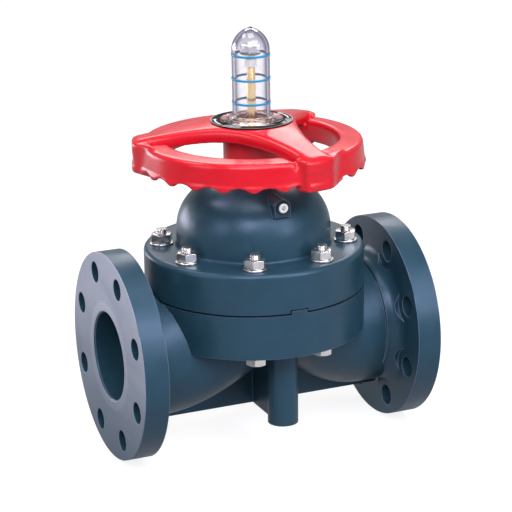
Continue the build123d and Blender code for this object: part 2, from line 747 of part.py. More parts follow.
with BuildPart() as handwheel:
    # Rim: an upturned channel whose outer wall is the skirt
    with BuildSketch(stem_section) as rim_section:
        with BuildLine():
            Polyline(
                (rim_inner_radius, rim_top - rim_inner_depth),
                (rim_inner_radius, rim_top),
                (wheel_radius, rim_edge),
                (skirt_radius, skirt_bead_top),
                (skirt_radius + skirt_bead_width, skirt_bead_top),
                (skirt_radius + skirt_bead_width, skirt_bottom),
                (skirt_radius - rim_wall, skirt_bottom),
                (wheel_radius - rim_wall, rim_edge - rim_wall),
                (rim_inner_radius + rim_wall, rim_top - rim_wall),
                (rim_inner_radius + rim_wall, rim_top - rim_inner_depth),
                close=True,
            )
        make_face()
        fillet(rim_section.vertices().sort_by(Axis.Y)[-2:], rim_edge_radius)
    revolve(axis=stem_axis)
    # Scallops along the skirt's lower edge: hollow arcs that run into round bumps
    half_pitch = skirt_radius * tan(radians(180 / scallop_count))
    both_radii = (half_pitch ** 2 + scallop_depth ** 2) / (2 * scallop_depth)
    hollow_radius = both_radii * (1 - scallop_bump_share)
    turn_x = half_pitch * (1 - scallop_bump_share)
    turn_y = scallop_depth - hollow_radius + (both_radii - scallop_depth) * (1 - scallop_bump_share)
    for step in range(scallop_count):
        outward = Vector(1, 0).rotate(Axis.Z, 360 / scallop_count * step)
        scallop_plane = Plane(
            origin=(stem_x, 0, skirt_bottom), x_dir=outward.rotate(Axis.Z, 90), z_dir=outward
        )
        with BuildSketch(scallop_plane.offset(wheel_radius - 2 * rim_wall)):
            with BuildLine():
                ThreePointArc((-turn_x, turn_y), (0, scallop_depth), (turn_x, turn_y))
                TangentArc((half_pitch, 0), (turn_x, turn_y), tangent=(-1, 0))
                Polyline(
                    (half_pitch, 0),
                    (half_pitch, -scallop_depth),
                    (-half_pitch, -scallop_depth),
                    (-half_pitch, 0),
                )
                TangentArc((-half_pitch, 0), (-turn_x, turn_y), tangent=(1, 0))
            make_face()
        extrude(amount=3 * rim_wall, mode=Mode.SUBTRACT)
    # Lugs below the arm tips, each with a long and a short flank back to the skirt
    lug_corner = Vector(arm_tip_radius, arm_tip_width / 2)
    tip_turn = degrees(atan2(lug_corner.Y, lug_corner.X))
    lug_root = Vector(wheel_radius - rim_wall / 2, 0)
    long_root = lug_root.rotate(Axis.Z, tip_turn + lug_long_turn)
    short_root = lug_root.rotate(Axis.Z, -tip_turn - lug_short_turn)
    with BuildSketch(height(lug_bottom)):
        with PolarLocations(0, arm_count, arm_direction):
            Polygon(
                (short_root.X, short_root.Y),
                (lug_corner.X, -lug_corner.Y),
                (lug_corner.X, lug_corner.Y),
                (long_root.X, long_root.Y),
                align=None,
            )
    extrude(amount=rim_edge - lug_bottom)
    add(wheel_arms.part)
    with BuildSketch(height(lug_bottom)):
        Circle(arm_tip_radius)
    extrude(amount=hub_top - lug_bottom, mode=Mode.INTERSECT)
    # Hub with its hexagonal bore and the recess of the wheel nut
    with BuildSketch(height(hub_bottom)):
        Circle(hub_boss_diameter / 2)
    extrude(amount=hub_top - arm_thickness / 2 - hub_bottom)
    with BuildSketch(height(hub_bottom)):
        RegularPolygon(drive_flats_width / 2 + drive_clearance, 6, major_radius=False)
    extrude(amount=wheel_nut_bottom - hub_bottom, mode=Mode.SUBTRACT)
    with BuildSketch(height(wheel_nut_bottom)):
        Circle(hub_recess_diameter / 2)
    extrude(amount=hub_top - wheel_nut_bottom, mode=Mode.SUBTRACT)
    # Groove of the cap's O-ring
    with BuildSketch(height(hub_top)):
        Circle(cap_o_ring_diameter / 2 + o_ring_radius)
        Circle(cap_o_ring_diameter / 2 - o_ring_radius, mode=Mode.SUBTRACT)
    extrude(amount=-o_ring_section_diameter, mode=Mode.SUBTRACT)

with BuildPart() as wheel_nut:
    with BuildSketch(height(wheel_nut_bottom)):
        RegularPolygon(wheel_nut_flats_width / 2, 6, major_radius=False)
        Circle(wheel_nut_core_diameter / 2, mode=Mode.SUBTRACT)
    extrude(amount=wheel_nut_thickness)

with BuildPart() as name_plate:
    with BuildSketch(height(hub_top)):
        Circle(name_plate_outer_diameter / 2)
        Circle(name_plate_inner_diameter / 2, mode=Mode.SUBTRACT)
    extrude(amount=name_plate_thickness)

with BuildPart() as cap_o_ring:
    with BuildSketch(stem_section):
        with Locations((cap_o_ring_diameter / 2, hub_top - o_ring_radius)):
            Circle(o_ring_radius)
    revolve(axis=stem_axis)

with BuildPart() as gauge_cap:
    cap_inner = cap_radius - cap_wall
    cap_shoulder = cap_top - cap_tip_height - cap_radius
    with BuildSketch(height(hub_top)):
        Circle(cap_flange_diameter / 2)
    extrude(amount=cap_flange_thickness)
    with BuildSketch(height(hub_top)):
        Circle(cap_radius)
    extrude(amount=cap_shoulder - hub_top)
    flange_edges = gauge_cap.edges().filter_by(GeomType.CIRCLE).group_by(Axis.Z)[-2]
    fillet(flange_edges.sort_by(SortBy.RADIUS)[0], cap_root_radius)
    with BuildSketch(height(hub_top)):
        Circle(hub_recess_diameter / 2 - running_gap / 2)
    extrude(amount=-cap_spigot_length)
    with Locations((stem_x, 0, cap_shoulder)):
        Sphere(cap_radius)
    # Small tip on the crown
    with BuildSketch(height(cap_shoulder)):
        Circle(cap_tip_height)
    extrude(amount=cap_top - cap_shoulder)
    with BuildSketch(height(hub_top - cap_spigot_length)):
        Circle(cap_inner)
    extrude(amount=cap_shoulder - hub_top + cap_spigot_length, mode=Mode.SUBTRACT)
    with Locations((stem_x, 0, cap_shoulder)):
        Sphere(cap_inner, mode=Mode.SUBTRACT)
    # Grooves of the three marking rings
    for travelled in (0, 0.5, 1):
        with BuildSketch(height(open_mark_height - travelled * stroke - ring_height / 2)):
            Circle(cap_radius + ring_proud_width)
            Circle(cap_radius - ring_proud_width, mode=Mode.SUBTRACT)
        extrude(amount=ring_height, mode=Mode.SUBTRACT)

with BuildPart() as gauge_rings:
    for travelled in (0, 0.5, 1):
        with BuildSketch(height(open_mark_height - travelled * stroke - ring_height / 2)):
            Circle(cap_radius + ring_proud_width)
            Circle(cap_radius - ring_proud_width, mode=Mode.SUBTRACT)
        extrude(amount=ring_height)

with BuildPart() as indicator_rod:
    rod_top = open_mark_height + indicator_nut_thickness + rod_end_height
    with BuildSketch(height(stem_top - indicator_grip_length)):
        Circle(indicator_diameter / 2)
    extrude(amount=rod_top - stem_top + indicator_grip_length)

with BuildPart() as indicator_collar:
    collar_level = open_mark_height - indicator_collar_drop - indicator_collar_length
    with BuildSketch(height(collar_level)):
        Circle(indicator_collar_diameter / 2)
        Circle(indicator_diameter / 2, mode=Mode.SUBTRACT)
    extrude(amount=indicator_collar_length)

with BuildPart() as indicator_nut:
    with BuildSketch(height(open_mark_height)):
        RegularPolygon(indicator_nut_flats / 2, 6, major_radius=False)
        Circle(indicator_diameter / 2, mode=Mode.SUBTRACT)
    extrude(amount=indicator_nut_thickness)

head_bottom = body_flange_bottom - washer_thickness - bolt_head_thickness
nut_bottom = bonnet_flange_top + washer_thickness
bolt_top = nut_bottom + nut_thickness + bolt_tip_height

with BuildPart() as bonnet_bolts:
    with BuildSketch(height(head_bottom)):
        with Locations(*bolt_spots(clear_of_neck)):
            RegularPolygon(nut_flats / 2, 6, major_radius=False)
    extrude(amount=bolt_head_thickness)
    with BuildSketch(height(head_bottom)):
        with Locations(*bolt_spots(clear_of_neck)):
            Circle(bolt_diameter / 2)
    extrude(amount=bolt_top - head_bottom)

with BuildPart() as bonnet_studs:
    with BuildSketch(height(body_top - stud_insert_length)):
        with Locations(*bolt_spots(beside_neck)):
            Circle(bolt_diameter / 2)
    extrude(amount=bolt_top - body_top + stud_insert_length)

with BuildPart() as lower_washers:
    with BuildSketch(height(body_flange_bottom)):
        with Locations(*bolt_spots(clear_of_neck)):
            Circle(washer_diameter / 2)
            Circle(bolt_hole_diameter / 2, mode=Mode.SUBTRACT)
    extrude(amount=-washer_thickness)

with BuildPart() as upper_washers:
    with BuildSketch(height(bonnet_flange_top)):
        with Locations(*bolt_spots(bolt_angles)):
            Circle(washer_diameter / 2)
            Circle(bolt_hole_diameter / 2, mode=Mode.SUBTRACT)
    extrude(amount=washer_thickness)

with BuildPart() as bonnet_nuts:
    with BuildSketch(height(nut_bottom)):
        with Locations(*bolt_spots(bolt_angles)):
            RegularPolygon(nut_flats / 2, 6, major_radius=False)
            Circle(bolt_diameter / 2, mode=Mode.SUBTRACT)
    extrude(amount=nut_thickness)

boss_face = Plane(origin=(stem_x, -nipple_reach, nipple_height), x_dir=(1, 0, 0), z_dir=(0, -1, 0))

with BuildPart() as grease_nipple:
    with BuildSketch(boss_face):
        Circle(nipple_head_diameter / 2)
    extrude(amount=nipple_head_thickness)
    with BuildSketch(boss_face):
        Circle(nipple_shank_diameter / 2)
    extrude(amount=-nipple_shank_length)
    with BuildSketch(boss_face.offset(nipple_head_thickness)):
        Circle(nipple_mouth_diameter / 2)
    extrude(amount=-nipple_mouth_diameter, mode=Mode.SUBTRACT)
    with BuildSketch(boss_face):
        Circle(grease_hole_diameter / 2)
    extrude(amount=-nipple_shank_length, mode=Mode.SUBTRACT)

with BuildPart() as nipple_ball:
    nipple_ball_y = -nipple_reach - nipple_head_thickness + nipple_ball_diameter / 2
    with Locations((stem_x, nipple_ball_y, nipple_height)):
        Sphere(nipple_ball_diameter / 2)

with BuildPart() as nipple_seal:
    with BuildSketch(boss_face):
        Circle(nipple_head_diameter / 2 + nipple_seal_width)
        Circle(nipple_head_diameter / 2, mode=Mode.SUBTRACT)
    extrude(amount=nipple_seal_width)

pieces = {
    "valve_body": valve_body,
    "support_inserts": support_inserts,
    "stud_inserts": stud_inserts,
    "bonnet": bonnet,
    "bonnet_bolts": bonnet_bolts,
    "bonnet_studs": bonnet_studs,
    "lower_washers": lower_washers,
    "upper_washers": upper_washers,
    "bonnet_nuts": bonnet_nuts,
    "diaphragm": diaphragm,
    "diaphragm_stud": diaphragm_stud,
    "cushion": cushion,
    "compressor": compressor,
    "compressor_pin": compressor_pin,
    "stem": stem,
    "stem_sleeve": stem_sleeve,
    "stem_o_ring": stem_o_ring,
    "lower_thrust_ring": lower_thrust_ring,
    "upper_thrust_ring": upper_thrust_ring,
    "sleeve_retainer": sleeve_retainer,
    "handwheel": handwheel,
    "wheel_nut": wheel_nut,
    "name_plate": name_plate,
    "cap_o_ring": cap_o_ring,
    "gauge_cap": gauge_cap,
    "gauge_rings": gauge_rings,
    "indicator_rod": indicator_rod,
    "indicator_collar": indicator_collar,
    "indicator_nut": indicator_nut,
    "grease_nipple": grease_nipple,
    "nipple_seal": nipple_seal,
    "nipple_ball": nipple_ball,
}
os.makedirs("parts", exist_ok=True)
for name, piece in pieces.items():
    piece.part.label = name
    export_step(piece.part, f"parts/{name}.step")
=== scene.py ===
"""Looks of a hand-operated diaphragm valve with two pipe flanges.

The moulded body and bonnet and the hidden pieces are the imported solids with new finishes. The fasteners,
the handwheel, the gauge cap with its indicator, the name plate, the grease nipple and the diaphragm are new
surfaces. Shapes are worked out in millimetres in the part's frame, and turned into metres in their meshes.
"""

import bmesh
import bpy
import numpy as np
from mathutils import Matrix, Vector


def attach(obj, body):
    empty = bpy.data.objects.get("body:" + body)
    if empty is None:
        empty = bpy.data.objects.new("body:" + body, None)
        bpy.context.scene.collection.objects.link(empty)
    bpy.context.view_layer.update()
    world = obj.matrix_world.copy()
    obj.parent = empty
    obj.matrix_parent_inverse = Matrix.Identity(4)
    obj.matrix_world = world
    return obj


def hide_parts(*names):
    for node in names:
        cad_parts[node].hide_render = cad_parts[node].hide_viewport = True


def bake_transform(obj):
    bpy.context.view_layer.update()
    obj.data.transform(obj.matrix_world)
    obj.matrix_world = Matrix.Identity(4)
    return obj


MM = 0.001
MERGE_DISTANCE = 1e-7
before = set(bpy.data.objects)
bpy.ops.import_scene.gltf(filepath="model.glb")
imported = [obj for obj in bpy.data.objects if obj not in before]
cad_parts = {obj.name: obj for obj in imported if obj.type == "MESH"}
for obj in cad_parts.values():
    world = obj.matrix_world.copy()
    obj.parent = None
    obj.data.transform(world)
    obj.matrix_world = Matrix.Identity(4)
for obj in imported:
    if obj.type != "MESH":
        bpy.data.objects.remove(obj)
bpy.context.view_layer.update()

# Sizes that the new pieces share with the solids, in mm
stem_x = 140.0
bolt_circle = 163.5
bolt_count = 8
bolt_angles = np.radians(360 / bolt_count * (np.arange(bolt_count) + 0.5))
bolt_across_flow = np.abs(np.sin(bolt_angles)) > np.abs(np.cos(bolt_angles))
body_flange_bottom = 9.5
body_top = 48.25
bonnet_flange_top = 86.0
washer_thickness = 2.0
washer_radius = 10.5
bolt_hole_radius = 5.5
bolt_radius = 5.0
bolt_pitch = 1.5
bolt_tip = 100.0
nut_flats = 17.0
nut_thickness = 8.0
head_thickness = 7.0
stud_bottom = 36.25
hub_top = 197.0
stroke = 42.0
open_mark = 256.0
cap_radius = 16.7
cap_inner = 14.1
cap_top = 280.0
cap_tip = 0.6
rod_radius = 4.0
rod_bottom = 177.35
rod_top = 266.0
nipple_height = 134.0
nipple_face = -65.0
chamber_radius = 58.5
diaphragm_radius = 73.0
diaphragm_floor = 45.25
diaphragm_roof = 52.75
diaphragm_low_centre = 55.3
diaphragm_web = 6.0
floor_level = -92.5


# Surfaces worked out from formulas


def quads(rows, columns, wrap_rows, wrap_columns):
    """Corner numbers of the faces between neighbours of a grid of points.
    Face (i, j) has the corners (i, j), (i, j + 1), (i + 1, j + 1) and (i + 1, j)."""
    i = np.arange(rows if wrap_rows else rows - 1)[:, None]
    j = np.arange(columns if wrap_columns else columns - 1)[None, :]
    next_i = (i + 1) % rows
    next_j = (j + 1) % columns
    corners = [i * columns + j, i * columns + next_j, next_i * columns + next_j, next_i * columns + j]
    return np.stack(np.broadcast_arrays(*corners), -1).reshape(-1, 4)


def surface(points, wrap_rows=False, wrap_columns=True):
    """A grid of points, shape (rows, columns, 3), as one list of points and one of faces."""
    rows, columns = points.shape[:2]
    return points.reshape(-1, 3), quads(rows, columns, wrap_rows, wrap_columns)


def softened(corners, closed=False, steps=5):
    """Outline through corners (x, y, radius), each rounded by an arc.
    The arc leaves the two sides at radius / tan(half the corner's angle) from the corner, and its centre
    is at radius / sin(half the angle) along the corner's bisector."""
    corners = np.array(corners, float)
    outline = []
    last = len(corners) - 1
    for k, (x, y, radius) in enumerate(corners):
        corner = np.array([x, y])
        if radius == 0 or (not closed and k in (0, last)):
            outline.append(corner[None])
            continue
        before = corners[k - 1, :2] - corner
        after = corners[(k + 1) % len(corners), :2] - corner
        before /= np.linalg.norm(before)
        after /= np.linalg.norm(after)
        half = np.arccos(np.clip(before @ after, -1, 1)) / 2
        bisector = (before + after) / np.linalg.norm(before + after)
        centre = corner + bisector * radius / np.sin(half)
        start = corner + before * radius / np.tan(half) - centre
        end = corner + after * radius / np.tan(half) - centre
        sweep = np.pi - 2 * half
        share = np.linspace(0, 1, steps + 1)[:, None]
        arc = (np.sin((1 - share) * sweep) * start + np.sin(share * sweep) * end) / np.sin(sweep)
        outline.append(centre + arc)
    return np.concatenate(outline)


def turned(profile, closed=False, segments=96):
    """Turned surface: a profile point (radius r, height z) becomes (r cos u, r sin u, z) for u once
    round."""
    u = np.linspace(0, 2 * np.pi, segments, endpoint=False)
    r, z = np.array(profile, float).T[:, :, None]
    points = np.stack(np.broadcast_arrays(r * np.cos(u), r * np.sin(u), z + 0 * u), -1)
    return surface(points, wrap_rows=closed)


def flat_ring(inner, outer, bottom, top, rounds, steps=5, segments=96):
    """Ring with a rectangular section. The four radii round its corners, from the lower inner one round by
    the outer ones to the upper inner one."""
    corners = list(zip((inner, outer, outer, inner), (bottom, bottom, top, top), rounds))
    return turned(softened(corners, closed=True, steps=steps), closed=True, segments=segments)


def hex_piece(flats, bottom, top, bore=0.0, bore_chamfer=0.6, chamfer_share=0.95, segments=96):
    """Hexagon nut or head, chamfered at both ends.
    The hexagon's radius at turn u is half the flats over cos(u mod 60 deg - 30 deg). A 30 degree cone cuts
    its ends, so at a radius r the end lies (r - chamfer radius) tan(30 deg) inside the end face."""
    u = np.linspace(0, 2 * np.pi, segments, endpoint=False)
    hexagon = flats / 2 / np.cos(np.mod(u, np.pi / 3) - np.pi / 6)
    chamfer_radius = chamfer_share * flats / 2
    drop = (hexagon - chamfer_radius) * np.tan(np.pi / 6)
    lead = bore_chamfer if bore else 0.0
    even = np.ones_like(u)
    rings = [
        (bore * even, (bottom + lead) * even),
        ((bore + lead) * even, bottom * even),
        (chamfer_radius * even, bottom * even),
        (hexagon, bottom + drop),
        (hexagon, top - drop),
        (chamfer_radius * even, top * even),
        ((bore + lead) * even, top * even),
        (bore * even, (top - lead) * even),
    ]
    r = np.array([ring[0] for ring in rings])
    z = np.array([ring[1] for ring in rings])
    return surface(np.stack([r * np.cos(u), r * np.sin(u), z], -1), wrap_rows=bore > 0)


def threaded(radius, pitch, bottom, top, tip_chamfer, segments=40, rows_per_pitch=8, depth_share=0.6):
    """Threaded rod: at turn u and height z the radius is the crest less the depth times a triangle wave of
    z / pitch - u / (2 pi), and no more than the tip's 45 degree cone allows."""
    depth = depth_share * pitch
    rows = int((top - bottom) / pitch * rows_per_pitch) + 2
    z = np.linspace(bottom, top, rows)[:, None]
    u = np.linspace(0, 2 * np.pi, segments, endpoint=False)[None, :]
    wave = np.abs(np.mod(z / pitch - u / (2 * np.pi), 1) * 2 - 1)
    r = np.minimum(radius - depth * wave, radius - tip_chamfer + (top - z))
    ends = np.zeros_like(u)
    r = np.concatenate([ends, r, ends])
    z = np.concatenate([z[:1], z, z[-1:]])
    points = np.stack(np.broadcast_arrays(r * np.cos(u), r * np.sin(u), z), -1)
    return surface(points)


def joined(first, second, radius):
    """Smooth union of two distance fields: their minimum, less h^2 / (4 radius), where h = radius -
    |difference| wherever that is above zero. It leaves a fillet where the two shapes meet."""
    overlap = np.maximum(radius - np.abs(first - second), 0)
    return np.minimum(first, second) - overlap ** 2 / (4 * radius)


def common(first, second, radius):
    """Smooth intersection of two distance fields: the smooth union of their negatives, negated. It rounds
    edges."""
    return -joined(-first, -second, radius)


def field_surface(field, low, step):
    """Surface on which a field on a grid is zero, by surface nets.
    A grid edge whose ends differ in sign is crossed at the share f0 / (f0 - f1) of its length. A grid cell
    has one point, the mean of its edges' crossings, and each crossed edge has one face, between the four
    cells round it."""
    cells = np.array(field.shape) - 1
    number = np.arange(np.prod(cells)).reshape(cells)
    total = np.zeros((*cells, 3), np.float32)
    count = np.zeros(cells, np.float32)
    faces = []
    for axis in range(3):
        across = [k for k in range(3) if k != axis]
        turned_field = np.moveaxis(field, axis, 0)
        first, second = turned_field[:-1], turned_field[1:]
        crossed = (first < 0) != (second < 0)
        share = np.where(crossed, first / np.where(crossed, first - second, 1), 0)
        totals, counts, numbers = (np.moveaxis(grid, axis, 0) for grid in (total, count, number))
        rows, columns = numbers.shape[1:]
        for b in (0, 1):
            for c in (0, 1):
                near = crossed[:, b : b + rows, c : c + columns]
                counts += near
                totals[..., axis] += share[:, b : b + rows, c : c + columns]
                totals[..., across[0]] += b * near
                totals[..., across[1]] += c * near
        inner = crossed[:, 1:-1, 1:-1]
        corners = numbers[:, :-1, :-1], numbers[:, 1:, :-1], numbers[:, 1:, 1:], numbers[:, :-1, 1:]
        faces.append(np.stack([corner[inner] for corner in corners], -1))
    used = count > 0
    place = np.stack(np.nonzero(used), -1) + total[used] / count[used][:, None]
    renumbered = np.cumsum(used.ravel()) - 1
    return place * step + np.array(low), renumbered[np.concatenate(faces)]


def moved(shape, x, y, z=0.0):
    """The surface, shifted by (x, y, z)."""
    points, faces = shape
    return points + np.array([x, y, z]), faces


def facing_front(shape):
    """The surface, with its upright axis laid down towards the front: (x, y, z) becomes (x, -z, y)."""
    points, faces = shape
    return np.stack([points[:, 0], -points[:, 2], points[:, 1]], -1), faces


def at_bolts(shape, chosen=slice(None)):
    """Copies of the surface at the chosen bolts of the bonnet."""
    x = stem_x + bolt_circle / 2 * np.cos(bolt_angles[chosen])
    y = bolt_circle / 2 * np.sin(bolt_angles[chosen])
    return [moved(shape, *place) for place in zip(x, y)]


def on_stem(*shapes):
    """The surfaces, moved to the stem's axis."""
    return [moved(shape, stem_x, 0) for shape in shapes]


def piece(name, shapes, material, body, closed=True, sharp_above=32):
    """One mesh from several surfaces, in metres, riding on a body.
    A closed one has its normals turned outwards. Edges that turn by more than sharp_above degrees stay
    sharp, and the others are shaded smooth."""
    counts = np.cumsum([0] + [len(points) for points, _ in shapes[:-1]])
    points = np.concatenate([points for points, _ in shapes]) * MM
    faces = np.concatenate([faces + count for (_, faces), count in zip(shapes, counts)])
    mesh = bpy.data.meshes.new(name)
    mesh.from_pydata(points.tolist(), [], faces.tolist())
    made = bmesh.new()
    made.from_mesh(mesh)
    bmesh.ops.remove_doubles(made, verts=made.verts, dist=MERGE_DISTANCE)
    bmesh.ops.dissolve_degenerate(made, edges=made.edges, dist=MERGE_DISTANCE)
    if closed:
        bmesh.ops.recalc_face_normals(made, faces=made.faces)
    made.to_mesh(mesh)
    made.free()
    mesh.shade_smooth()
    mesh.set_sharp_from_angle(angle=np.radians(sharp_above))
    mesh.materials.append(material)
    made_piece = bpy.data.objects.new(name, mesh)
    bpy.context.scene.collection.objects.link(made_piece)
    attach(made_piece, body)
    return made_piece


# Finishes


def srgb(red, green, blue):
    """Linear colour of an 8-bit screen colour: ((c + 0.055) / 1.055)^2.4, or c / 12.92 where very dark."""
    c = np.array([red, green, blue]) / 255
    linear = np.where(c > 0.04045, ((c + 0.055) / 1.055) ** 2.4, c / 12.92)
    return (*linear.tolist(), 1.0)


def new_group(name, inputs, outputs):
    """Empty shader group with named inputs (type, value) and outputs (type)."""
    group = bpy.data.node_groups.new(name, "ShaderNodeTree")
    for label, (kind, value) in inputs.items():
        group.interface.new_socket(label, in_out="INPUT", socket_type=kind).default_value = value
    for label, kind in outputs.items():
        group.interface.new_socket(label, in_out="OUTPUT", socket_type=kind)
    entry = group.nodes.new("NodeGroupInput")
    exit_node = group.nodes.new("NodeGroupOutput")
    return group, entry.outputs, exit_node.inputs


def node(tree, kind, values=None, **settings):
    """New node with its settings, and its sockets linked or set from values."""
    made = tree.nodes.new(kind)
    for key, value in settings.items():
        setattr(made, key, value)
    for socket, value in (values or {}).items():
        if isinstance(value, bpy.types.NodeSocket):
            tree.links.new(value, made.inputs[socket])
        else:
            made.inputs[socket].default_value = value
    return made


def math_node(tree, operation, first, second=0.0, third=0.0, clamp=False):
    """Result of one arithmetic step."""
    values = {0: first, 1: second, 2: third}
    return node(tree, "ShaderNodeMath", values, operation=operation, use_clamp=clamp).outputs[0]


def blend_colours(tree, share, first, second):
    """Mix of two colours by a share from 0 to 1: sockets 6 and 7 of the Mix node, and its result 2."""
    made = node(tree, "ShaderNodeMix", {0: share, 6: first, 7: second}, data_type="RGBA")
    return made.outputs[2]


def blend_numbers(tree, share, first, second):
    """Mix of two numbers by a share from 0 to 1: sockets 2 and 3 of the Mix node, and its result 0."""
    return node(tree, "ShaderNodeMix", {0: share, 2: first, 3: second}).outputs[0]


def ramp(tree, value, start=0.0, end=1.0, low=0.0, high=1.0, smooth=False):
    """Value that goes from low to high as the given one goes from start to end, and is level beyond."""
    kind = "SMOOTHSTEP" if smooth else "LINEAR"
    limits = {0: value, 1: start, 2: end, 3: low, 4: high}
    return node(tree, "ShaderNodeMapRange", limits, interpolation_type=kind).outputs[0]


def noise(tree, place, scale, detail, distortion=0.0):
    """Noise from 0 to 1 over a place."""
    values = {"Vector": place, "Scale": scale, "Detail": detail, "Distortion": distortion}
    return node(tree, "ShaderNodeTexNoise", values).outputs[0]


def scaled_place(tree, place, scale):
    """A place with its three coordinates multiplied."""
    return node(tree, "ShaderNodeVectorMath", {0: place, 1: scale}, operation="MULTIPLY").outputs[0]


def object_place(tree):
    """Place on the object, in metres."""
    return node(tree, "ShaderNodeTexCoord").outputs["Object"]


def object_axes(tree, place):
    """The coordinates X, Y and Z of a place."""
    return node(tree, "ShaderNodeSeparateXYZ", {0: place}).outputs


NUMBER = "NodeSocketFloat"
VECTOR = "NodeSocketVector"


def make_grain():
    """Skin of a moulding: fine grain and slow waves for a Bump node, and slow blotches as a mask."""
    group, given, result = new_group(
        "moulded skin",
        {"Grain Size": (NUMBER, 0.0006), "Wave Size": (NUMBER, 0.02), "Wave Share": (NUMBER, 0.5)},
        {"Height": NUMBER, "Blotches": NUMBER},
    )
    place = object_place(group)
    grain = noise(group, place, math_node(group, "DIVIDE", 1.0, given["Grain Size"]), detail=3.0)
    waves = noise(group, place, math_node(group, "DIVIDE", 1.0, given["Wave Size"]), detail=2.0)
    height = blend_numbers(group, given["Wave Share"], grain, waves)
    blotches = ramp(group, waves, start=0.35, end=0.65, smooth=True)
    group.links.new(height, result["Height"])
    group.links.new(blotches, result["Blotches"])
    return group


def make_edges(radius):
    """Rounded edges for one radius in metres: the normal averaged within it, and a mask that is 1 on an
    edge and 0 on a face, which is how far the averaged normal turns away from the face's own."""
    group, given, result = new_group(
        "rounded edges",
        {"Gain": (NUMBER, 6.0)},
        {"Normal": VECTOR, "Edge": NUMBER},
    )
    rounded = node(group, "ShaderNodeBevel", {"Radius": radius}, samples=6)
    flat = node(group, "ShaderNodeNewGeometry").outputs["Normal"]
    along = node(group, "ShaderNodeVectorMath", {0: rounded.outputs[0], 1: flat}, operation="DOT_PRODUCT")
    turned_away = math_node(group, "SUBTRACT", 1.0, along.outputs["Value"])
    edge = math_node(group, "MULTIPLY", turned_away, given["Gain"], clamp=True)
    group.links.new(rounded.outputs[0], result["Normal"])
    group.links.new(edge, result["Edge"])
    return group


def make_brushing():
    """Marks of turning or rolling on metal: fine streaks as a height, and smudges as a mask."""
    group, given, result = new_group(
        "tool marks",
        {"Streaks": (VECTOR, (1.0, 1.0, 1.0)), "Scale": (NUMBER, 900.0)},
        {"Height": NUMBER, "Smudges": NUMBER},
    )
    place = object_place(group)
    streaks = noise(group, scaled_place(group, place, given["Streaks"]), given["Scale"], detail=2.0)
    smudges = noise(group, place, scale=120.0, detail=3.0)
    group.links.new(streaks, result["Height"])
    group.links.new(smudges, result["Smudges"])
    return group


# Joint faces: the rings' phase for each metre and their share, then radii from the flow axis, and heights
# over it for the painted light, in metres
ring_phase = 2200.0
ring_share = 0.07
rings_end = 0.062
rings_full = 0.052
lip_outer = 0.0495
lip_inner = 0.0475
light_gradient_bottom = -0.08
light_gradient_top = 0.06
light_full_top = 0.05


def make_joint_faces():
    """Turned joint faces at both ends of the flow axis: a mask that is 1 on them, rubbed streaks, and the
    share of a painted sheen. The streaks are the sum of stretched smears, a paler lip round the bore, a
    painted lighter upper half, which stands for light from above, and fine rings, which are the sine of
    ring_phase times the distance from the axis. The sheen is painted light: least at the bottom and full
    from light_full_top up."""
    group, given, result = new_group(
        "joint faces",
        {"Inlet Face": (NUMBER, 0.0), "Outlet Face": (NUMBER, 0.28), "Depth": (NUMBER, 0.0004)},
        {"Mask": NUMBER, "Streaks": NUMBER, "Sheen": NUMBER},
    )
    place = object_place(group)
    axes = object_axes(group, place)
    faces = (given["Inlet Face"], given["Outlet Face"])
    mask = math_node(
        group,
        "MAXIMUM",
        *(math_node(group, "COMPARE", axes["X"], face, given["Depth"]) for face in faces),
    )

    squares = [math_node(group, "MULTIPLY", axes[name], axes[name]) for name in ("Y", "Z")]
    out = math_node(group, "SQRT", math_node(group, "ADD", *squares))
    rings = math_node(group, "SINE", math_node(group, "MULTIPLY", out, ring_phase))
    around_bore = ramp(group, out, start=rings_end, end=rings_full, high=ring_share, smooth=True)
    ring_part = math_node(group, "MULTIPLY", rings, around_bore)

    drawn_out = scaled_place(group, place, (1.0, 0.4, 1.0))
    smears = noise(group, drawn_out, scale=24.0, detail=5.0, distortion=0.6)
    smear_part = ramp(group, smears, start=0.3, end=0.75, high=0.4)
    lip_part = ramp(group, out, start=lip_outer, end=lip_inner, high=0.2)
    # Painted light: the upper half of each joint face is lighter, as if lit from above
    painted_upper_light = ramp(group, axes["Z"], start=light_gradient_bottom, end=light_gradient_top, high=0.45)
    streaks_and_light = math_node(group, "ADD", smear_part, math_node(group, "ADD", lip_part, painted_upper_light))
    # Painted sheen share on the joint faces, least at the bottom
    top_light = ramp(group, axes["Z"], start=light_gradient_bottom, end=light_full_top, low=0.25)
    group.links.new(mask, result["Mask"])
    group.links.new(math_node(group, "MULTIPLY", mask, top_light), result["Sheen"])
    group.links.new(math_node(group, "ADD", streaks_and_light, ring_part, clamp=True), result["Streaks"])
    return group


skin = make_grain()
joint_faces = make_joint_faces()
fine_edges = make_edges(0.0007)
body_edges = make_edges(0.001)
broad_edges = make_edges(0.0016)
tool_marks = make_brushing()


def placed(tree, group, **values):
    """A group in a material, with its own values."""
    made = tree.nodes.new("ShaderNodeGroup")
    made.node_tree = group
    for label, value in values.items():
        made.inputs[label.replace("_", " ")].default_value = value
    return made.outputs


def new_material(name):
    """Material with its node tree, Principled shader and the shader's inputs."""
    material = bpy.data.materials.new(name)
    material.use_nodes = True
    tree = material.node_tree
    return material, tree, tree.nodes["Principled BSDF"].inputs


def bumped(tree, height, normal, depth, strength=1.0):
    """Normal bumped by a height from 0 to 1, to a depth in metres."""
    values = {"Strength": strength, "Distance": depth, "Height": height, "Normal": normal}
    return node(tree, "ShaderNodeBump", values).outputs[0]


